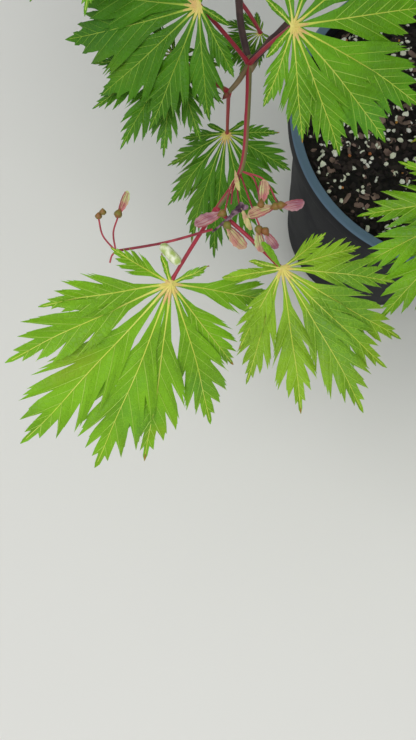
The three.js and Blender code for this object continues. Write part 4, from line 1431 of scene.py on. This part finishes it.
def make_bark(looks):
    heap = Heap()
    heap.add(*bark_tube(TRUNK_LINE, TRUNK_RADII, TRUNK_SIDES, 1, True))
    for number, (radii, line) in enumerate(BOUGHS.values()):
        heap.add(*bark_tube(line, radii, BOUGH_SIDES, 2 + number, False))
    put("trunk_and_boughs", heap, looks["bark"], ["trunk", *BOUGHS])


def wall_radius(height):
    """The wall's outside: a plain cone from the foot to the rim."""
    return FOOT_RADIUS + (RIM_RADIUS - RIM_WIDTH + POT_WALL - FOOT_RADIUS) * height / POT_HEIGHT


def turned(profile, sides):
    """A closed profile of (radius, height) turned about the upright axis."""
    radius, height = np.asarray(profile, float).T[..., None]
    angle = circle(sides)
    level = np.broadcast_to(height, (len(profile), sides))
    return np.stack([radius * np.cos(angle), radius * np.sin(angle), level], -1), tube_faces(*level.shape)


def arc(centre, radius, start, end, steps):
    """Points of a circle's arc in the profile's plane, by its angles in degrees."""
    angle = np.radians(np.linspace(start, end, steps))
    return [(centre[0] + radius * math.cos(a), centre[1] + radius * math.sin(a)) for a in angle]


# The pot's outline: radii on its floor, the stiffening ring's steps down from the lip and outwards, and
# the rounding of its foot and of the lip's lower, outer and inner edge
FLOOR_RADII = (0.02, 30, 60, 90)
STIFFENER = ((9, 0), (8, 1.2), (5, 1.2), (4, 0))
FOOT_ROUND = 2.5
UNDER_ROUND = 1.2
LIP_ROUND = 2.4
INNER_ROUND = 1.6


def make_pot(looks):
    """A thin wall up from a rounded foot, a stiffening ring under a rolled lip, and down the inside."""
    under = POT_HEIGHT - RIM_DEPTH
    inside = RIM_RADIUS - RIM_WIDTH
    outline = [(radius, 0.0) for radius in (*FLOOR_RADII, FOOT_RADIUS - 4)]
    outline += arc((FOOT_RADIUS - FOOT_ROUND, FOOT_ROUND), FOOT_ROUND, -90, 0, 5)
    outline += [(wall_radius(h) + 0.15 * math.sin(h / 9), h) for h in np.linspace(8, under - 12, 26)]
    outline += [(wall_radius(under - down) + out, under - down) for down, out in STIFFENER]
    outline += [(wall_radius(under), under - 0.4), (RIM_RADIUS - 2.2, under)]
    outline += arc((RIM_RADIUS - UNDER_ROUND, under + UNDER_ROUND), UNDER_ROUND, -90, 0, 4)
    outline += [(RIM_RADIUS, POT_HEIGHT - 8)]
    outline += arc((RIM_RADIUS - LIP_ROUND, POT_HEIGHT - LIP_ROUND), LIP_ROUND, 0, 90, 7)
    outline += [(RIM_RADIUS - 5, POT_HEIGHT - 0.15)]
    outline += arc((inside + INNER_ROUND, POT_HEIGHT - 2.0), INNER_ROUND, 95, 180, 6)
    outline += [(inside - 0.2, POT_HEIGHT - 7), (wall_radius(under) - POT_WALL, under)]
    outline += [(wall_radius(h) - POT_WALL, h) for h in np.linspace(under - 20, 8, 12)]
    outline += [(radius, POT_WALL) for radius in (FOOT_RADIUS - 5, *FLOOR_RADII[::-1])]
    heap = Heap()
    heap.add(*turned(outline, 192))
    pot = put("pot_shell", heap, looks["pot"], ["pot"])
    drills = Heap()
    for angle in circle(DRAIN_HOLES):
        at = vec((DRAIN_CIRCLE * math.cos(angle), DRAIN_CIRCLE * math.sin(angle), -4))
        drills.add(*tube([at, at + 12 * UP], DRAIN_RADIUS, 28))
    cut_with(pot, drills)


def cut_with(piece, heap):
    """Cuts the heap's shapes out of the piece with a Boolean, and keeps the result as its mesh."""
    points, groups = heap.joined()
    tool = placed("drill", bpy.data.meshes.new("drill"))
    tool.data.from_pydata(points.tolist(), [], [face for group in groups for face in group.tolist()])
    cut = piece.modifiers.new("drain_holes", "BOOLEAN")
    cut.operation, cut.solver, cut.object = "DIFFERENCE", "EXACT", tool
    bpy.context.view_layer.update()
    result = bpy.data.meshes.new_from_object(piece.evaluated_get(bpy.context.evaluated_depsgraph_get()))
    piece.modifiers.remove(cut)
    bpy.data.objects.remove(tool)
    piece.data = result


# The mix's top: how far it is sunk in the middle and at the wall, how far from the wall that begins, and
# the small mound round the trunk; then its short waves, their limits of height, rate and phase
MIX_SUNK = 1.0
WALL_SINK = 3.5
SINK_FROM = 60
SINK_WIDTH = 67
MOUND_HEIGHT = 2.2
MOUND_RADIUS = 26
MIX_WAVES = 16
MIX_WAVE_HEIGHTS = (0.12, 0.4)
MIX_WAVE_RATES = (0.1, 0.9)
MIX_WAVE_PHASES = (0, 6.3)


def mix_waves(rng):
    for _ in range(MIX_WAVES):
        height = rng.uniform(*MIX_WAVE_HEIGHTS)
        rates = rng.uniform(*MIX_WAVE_RATES, 2) * rng.choice((-1, 1), 2)
        yield height, *rates, rng.uniform(*MIX_WAVE_PHASES)


def mix_top(x, y, waves):
    """Height of the mix: gently mounded, sunk at the wall, rough by a sum of short waves."""
    radius = np.hypot(x, y)
    level = MIX_HEIGHT - MIX_SUNK - WALL_SINK * np.clip((radius - SINK_FROM) / SINK_WIDTH, 0, 1) ** 2
    level = level + MOUND_HEIGHT * np.exp(-((radius / MOUND_RADIUS) ** 2))
    rough = sum(a * np.sin(x * kx + y * ky + phase) for a, kx, ky, phase in waves)
    return level + rough


# A ball of twelve corners and twenty faces
GOLDEN = (1 + 5**0.5) / 2
BALL_CORNERS = (
    [(-1, GOLDEN, 0), (1, GOLDEN, 0), (-1, -GOLDEN, 0), (1, -GOLDEN, 0)]
    + [(0, -1, GOLDEN), (0, 1, GOLDEN), (0, -1, -GOLDEN), (0, 1, -GOLDEN)]
    + [(GOLDEN, 0, -1), (GOLDEN, 0, 1), (-GOLDEN, 0, -1), (-GOLDEN, 0, 1)]
)
BALL_FACES = (
    [(0, 11, 5), (0, 5, 1), (0, 1, 7), (0, 7, 10), (0, 10, 11), (1, 5, 9), (5, 11, 4), (11, 10, 2)]
    + [(10, 7, 6), (7, 1, 8), (3, 9, 4), (3, 4, 2), (3, 2, 6), (3, 6, 8), (3, 8, 9), (4, 9, 5)]
    + [(2, 4, 11), (6, 2, 10), (8, 6, 7), (9, 8, 1)]
)


GRAIN_JITTER = (0.78, 1.12)


def pebbles(rng, places, sizes, flatness, tilt):
    """Rough grains: a twelve-cornered ball with its corners jittered, stretched, tilted and placed."""
    count = len(places)
    ball = np.array(BALL_CORNERS, float)
    ball /= np.linalg.norm(ball[0])
    shape = ball * rng.uniform(*GRAIN_JITTER, (count, len(ball), 1)) * sizes[:, None, :] / 2
    yaw = rng.uniform(0, 2 * math.pi, (count, 1))
    lean = rng.uniform(-tilt, tilt, (count, 1))
    way = rng.uniform(0, 6.3, (count, 1))
    across, along = shape[..., 0], shape[..., 1]
    x = across * np.cos(yaw) - along * np.sin(yaw)
    y = across * np.sin(yaw) + along * np.cos(yaw)
    z = shape[..., 2] * flatness + (x * np.cos(way) + y * np.sin(way)) * np.tan(lean)
    return np.stack([x, y, z], -1) + places[:, None], many([np.array(BALL_FACES)], count, len(ball))


# Grains on the mix: finish, how many, least and most size, flatness, most tilt, and how far they stand out
GRAINS = {
    "bark_chips": ("chip", 1700, (4, 3, 2), (13, 8, 5.5), 0.6, 0.7, 0.5),
    "brown_chips": ("brown_chip", 300, (5, 4, 2), (15, 10, 4), 0.55, 0.5, 0.65),
    "perlite_grains": ("perlite", 780, (2.2, 2.2, 2.2), (8.8, 7.8, 6.4), 0.9, 0.4, 0.42),
    "feed_beads": ("bead", 60, (3, 3, 3), (4.4, 4.2, 4), 0.95, 0.2, 0.7),
}


MIX_SIDES = 220
MIX_RINGS = 74
WALL_HEIGHTS = (8, 80, 150, 215)


def make_mix(looks):
    rng = np.random.default_rng(12)
    waves = list(mix_waves(rng))
    inner = wall_radius(MIX_HEIGHT) - POT_WALL - 2 * GAP
    floor = POT_WALL + GAP
    angle = circle(MIX_SIDES)
    below = [(0.02, floor), (60, floor), (wall_radius(floor) - POT_WALL - 5, floor)]
    below += [(wall_radius(h) - POT_WALL - 2 * GAP, h) for h in WALL_HEIGHTS]
    radii = np.array([r for r, _ in below] + list(np.linspace(inner, 0.02, MIX_RINGS)))
    x, y = radii[:, None] * np.cos(angle), radii[:, None] * np.sin(angle)
    z = mix_top(x, y, waves)
    z[: len(below)] = [[h] for _, h in below]
    heap = Heap()
    heap.add(np.stack([x, y, z], -1), tube_faces(*z.shape))
    put("potting_mix_bed", heap, looks["soil"], ["potting_mix"])
    for name, (look, count, low, high, flat, tilt, out) in GRAINS.items():
        radius = (inner - 6) * np.sqrt(rng.uniform(0.016, 1, count))
        turn = rng.uniform(0, 2 * math.pi, count)
        x, y = radius * np.cos(turn), radius * np.sin(turn)
        sizes = rng.uniform(low, high, (count, 3)) * rng.uniform(0.6, 1, (count, 1))
        z = mix_top(x, y, waves) + out * sizes[:, 2] * 0.5 * flat
        grains = Heap()
        grains.add(*pebbles(rng, np.stack([x, y, z], -1), sizes, flat, tilt))
        piece = put(name, grains, looks[look])
        piece.data.polygons.foreach_set("use_smooth", np.zeros(len(piece.data.polygons), bool))


# A wing: its rows, how much it curls up, and by column of its grid the place across it, over its upper
# face to the stiff edge and back under it, which face that is, and the pleats between its veins
WING_ROWS = 16
WING_CURL = 1.6
WING_EDGE = (-1, -0.7, -0.4, -0.1, 0.2, 0.5, 0.75, 1, 0.75, 0.5, 0.2, -0.1, -0.4, -0.7)
WING_FACES = (0, *[1] * 6, 0, *[-1] * 6)
WING_PLEATS = (0, 1, -1, 1, -1, 1, -1, 0, -1, 1, -1, 1, -1, 1)
HALF_THICKNESS = 0.12
PLEAT_DEPTH = 0.13
WING_WAVE = 0.35


def wing_blade(start, tip, width, curl=WING_CURL):
    """One wing: nearly straight along its stiff edge, while the other swells past the middle and rounds
    off; it curls up a little towards the tip, and is waved between its veins."""
    start, tip = vec(start), vec(tip)
    along = tip - start
    across = unit(np.cross(UP, along))
    upward = unit(np.cross(along, across))
    share = np.linspace(0, 1, WING_ROWS)[:, None]
    edge, face, pleats = vec((WING_EDGE, WING_FACES, WING_PLEATS))
    swell = np.sin(math.pi * np.clip(share * 0.95 + 0.02, 0, 1) ** 1.4) ** 0.7
    blunt = np.where(share > 0.98, 0.5, 1)
    half = width * (0.1 + 0.4 * swell) * blunt * (1 + 0.07 * np.sin(share * 31 + width))
    sideways = (edge - 0.35) * half
    waved = WING_WAVE * np.sin(share * 15 + 2 * edge + width) * (1 - edge**2)
    lift = HALF_THICKNESS * face + (PLEAT_DEPTH * pleats + waved) * swell + curl * share**2
    points = start + share[..., None] * along + sideways[..., None] * across + lift[..., None] * upward
    return points, tube_faces(*lift.shape)


# Seeds as buds: length and radius; and the radii of stalks and of the pod
SEED = (5.0, 1.75)
SMALL_SEED = (3.6, 1.5)
STALK_RADIUS = 0.42
BARE_STALK_RADIUS = 0.62
POD_RADIUS = 2.5
# The pieces of the fruit, by their finishes
FRUIT_PIECES = {
    "wing": "fruit_wings",
    "dull_wing": "dull_fruit_wings",
    "wing_line": "wing_veins",
    "nutlet": "nutlets",
    "pedicel": "fruit_stalks",
    "dry": "dry_scales",
    "scale": "bud_scales",
    "pod": "pod",
    "bright": "leaflet",
}


def make_fruit(looks):
    """Winged seeds on thin stalks, dry scales among them, and a long bare stalk that forks."""
    heaps = {kind: Heap() for kind in FRUIT_PIECES}
    for number, (start, tip, width) in enumerate(WINGS):
        blade, faces = wing_blade(start, tip, width)
        heaps["wing" if number % 3 else "dull_wing"].add(blade, faces)
        for column, radius in WING_LINES:
            heaps["wing_line"].add(*tube(blade[1:-1, column], radius, 5))
        ahead = unit(vec(tip) - vec(start))
        heaps["nutlet"].add(*pointed_bud(vec(start) - ahead * 1.8 + UP * 0.2, ahead, *SEED))
    for at in SMALL_SEEDS:
        heaps["nutlet"].add(*pointed_bud(vec(at) - UP, (0.1, 0.5, 0.8), *SMALL_SEED))
    for line in PEDICELS:
        heaps["pedicel"].add(*tube(smooth(line, 5), STALK_RADIUS, 8))
    for number, line in enumerate(BARE_STALK):
        heaps["pedicel"].add(*tube(smooth(line, 6), STALK_RADIUS if number else BARE_STALK_RADIUS, 8))
    for start, end, radius in DRY_BITS:
        share = np.linspace(0, 1, 9)
        line = vec(start) + (vec(end) - vec(start)) * share[:, None]
        line = line + 0.5 * np.sin(share * 9)[:, None] * vec((0.6, 0.2, 0.7))
        heaps["dry"].add(*tube(line, radius * (1 - 0.6 * share) * (1 + 0.25 * np.sin(share * 23)), 8))
    for row in BUD_SCALES:
        heaps["scale"].add(*wing_blade(*row))
    start, end = vec(POD)
    share = np.linspace(0, 1, 14)
    round_ends = POD_RADIUS * np.sqrt(np.clip(1 - np.abs(2 * share - 1) ** 5, 0.01, 1))
    heaps["pod"].add(*tube(start + (end - start) * share[:, None], round_ends, 14))
    heaps["bright"].add(*wing_blade(*LEAFLET))
    for kind, name in FRUIT_PIECES.items():
        put(name, heaps[kind], looks[kind])


def make_stage():
    bpy.ops.mesh.primitive_plane_add(size=200, location=(0, 0, 0))
    floor = bpy.context.object
    floor.name = "floor"
    floor.data.materials.append(floor_finish())


# Lights: place and aim in metres, size, power and tone
LIGHTS = {
    "softbox": ((-0.6, -1.0, 2.5), (-0.1, -0.1, 0.35), 1.6, 31, (1, 0.99, 0.96)),
    "fill": ((1.8, -1.2, 1.8), (0, 0, 0.4), 1.8, 13, (1, 1, 1)),
    "back": ((0.4, 2.2, 1.8), (0, 0, 0.4), 1.6, 6, (1, 1, 1)),
}
SKY = (0.95, 0.98, 1.0, 1)
SKY_STRENGTH = 0.5
SENSOR = 36
FOCAL_PIXELS = 556
PICTURE_HEIGHT = 740


def make_light_and_camera():
    """Three soft lights under a pale sky, and a camera at the open wedge's apex."""
    scene = bpy.context.scene
    scene.view_settings.view_transform = "Standard"
    world = bpy.data.worlds.new("studio")
    world.use_nodes = True
    background = world.node_tree.nodes["Background"]
    background.inputs["Color"].default_value = SKY
    background.inputs["Strength"].default_value = SKY_STRENGTH
    scene.world = world
    for name, (place, aim, size, power, tone) in LIGHTS.items():
        data = bpy.data.lights.new(name, "AREA")
        data.size, data.energy, data.color = size, power, tone
        light = placed(name, data)
        light.location = place
        light.rotation_euler = (Vector(aim) - Vector(place)).to_track_quat("-Z", "Y").to_euler()
    data = bpy.data.cameras.new("camera")
    data.sensor_width = SENSOR
    data.lens = SENSOR * FOCAL_PIXELS / PICTURE_HEIGHT
    data.clip_start = 0.01
    camera = placed("camera", data)
    camera.location = tuple(OPEN_APEX / 1000)
    camera.rotation_euler = (OPEN_TILT, 0, 0)
    scene.camera = camera


make_light_and_camera()
make_stage()
looks = finishes()
plant = grow_plant()
redraw_leaves(plant)
print("leaves", {kind: sum(leaf.detail == kind for leaf in plant.leaves) for kind in DETAILS})
make_foliage(plant, looks)
make_bark(looks)
make_pot(looks)
make_mix(looks)
make_fruit(looks)
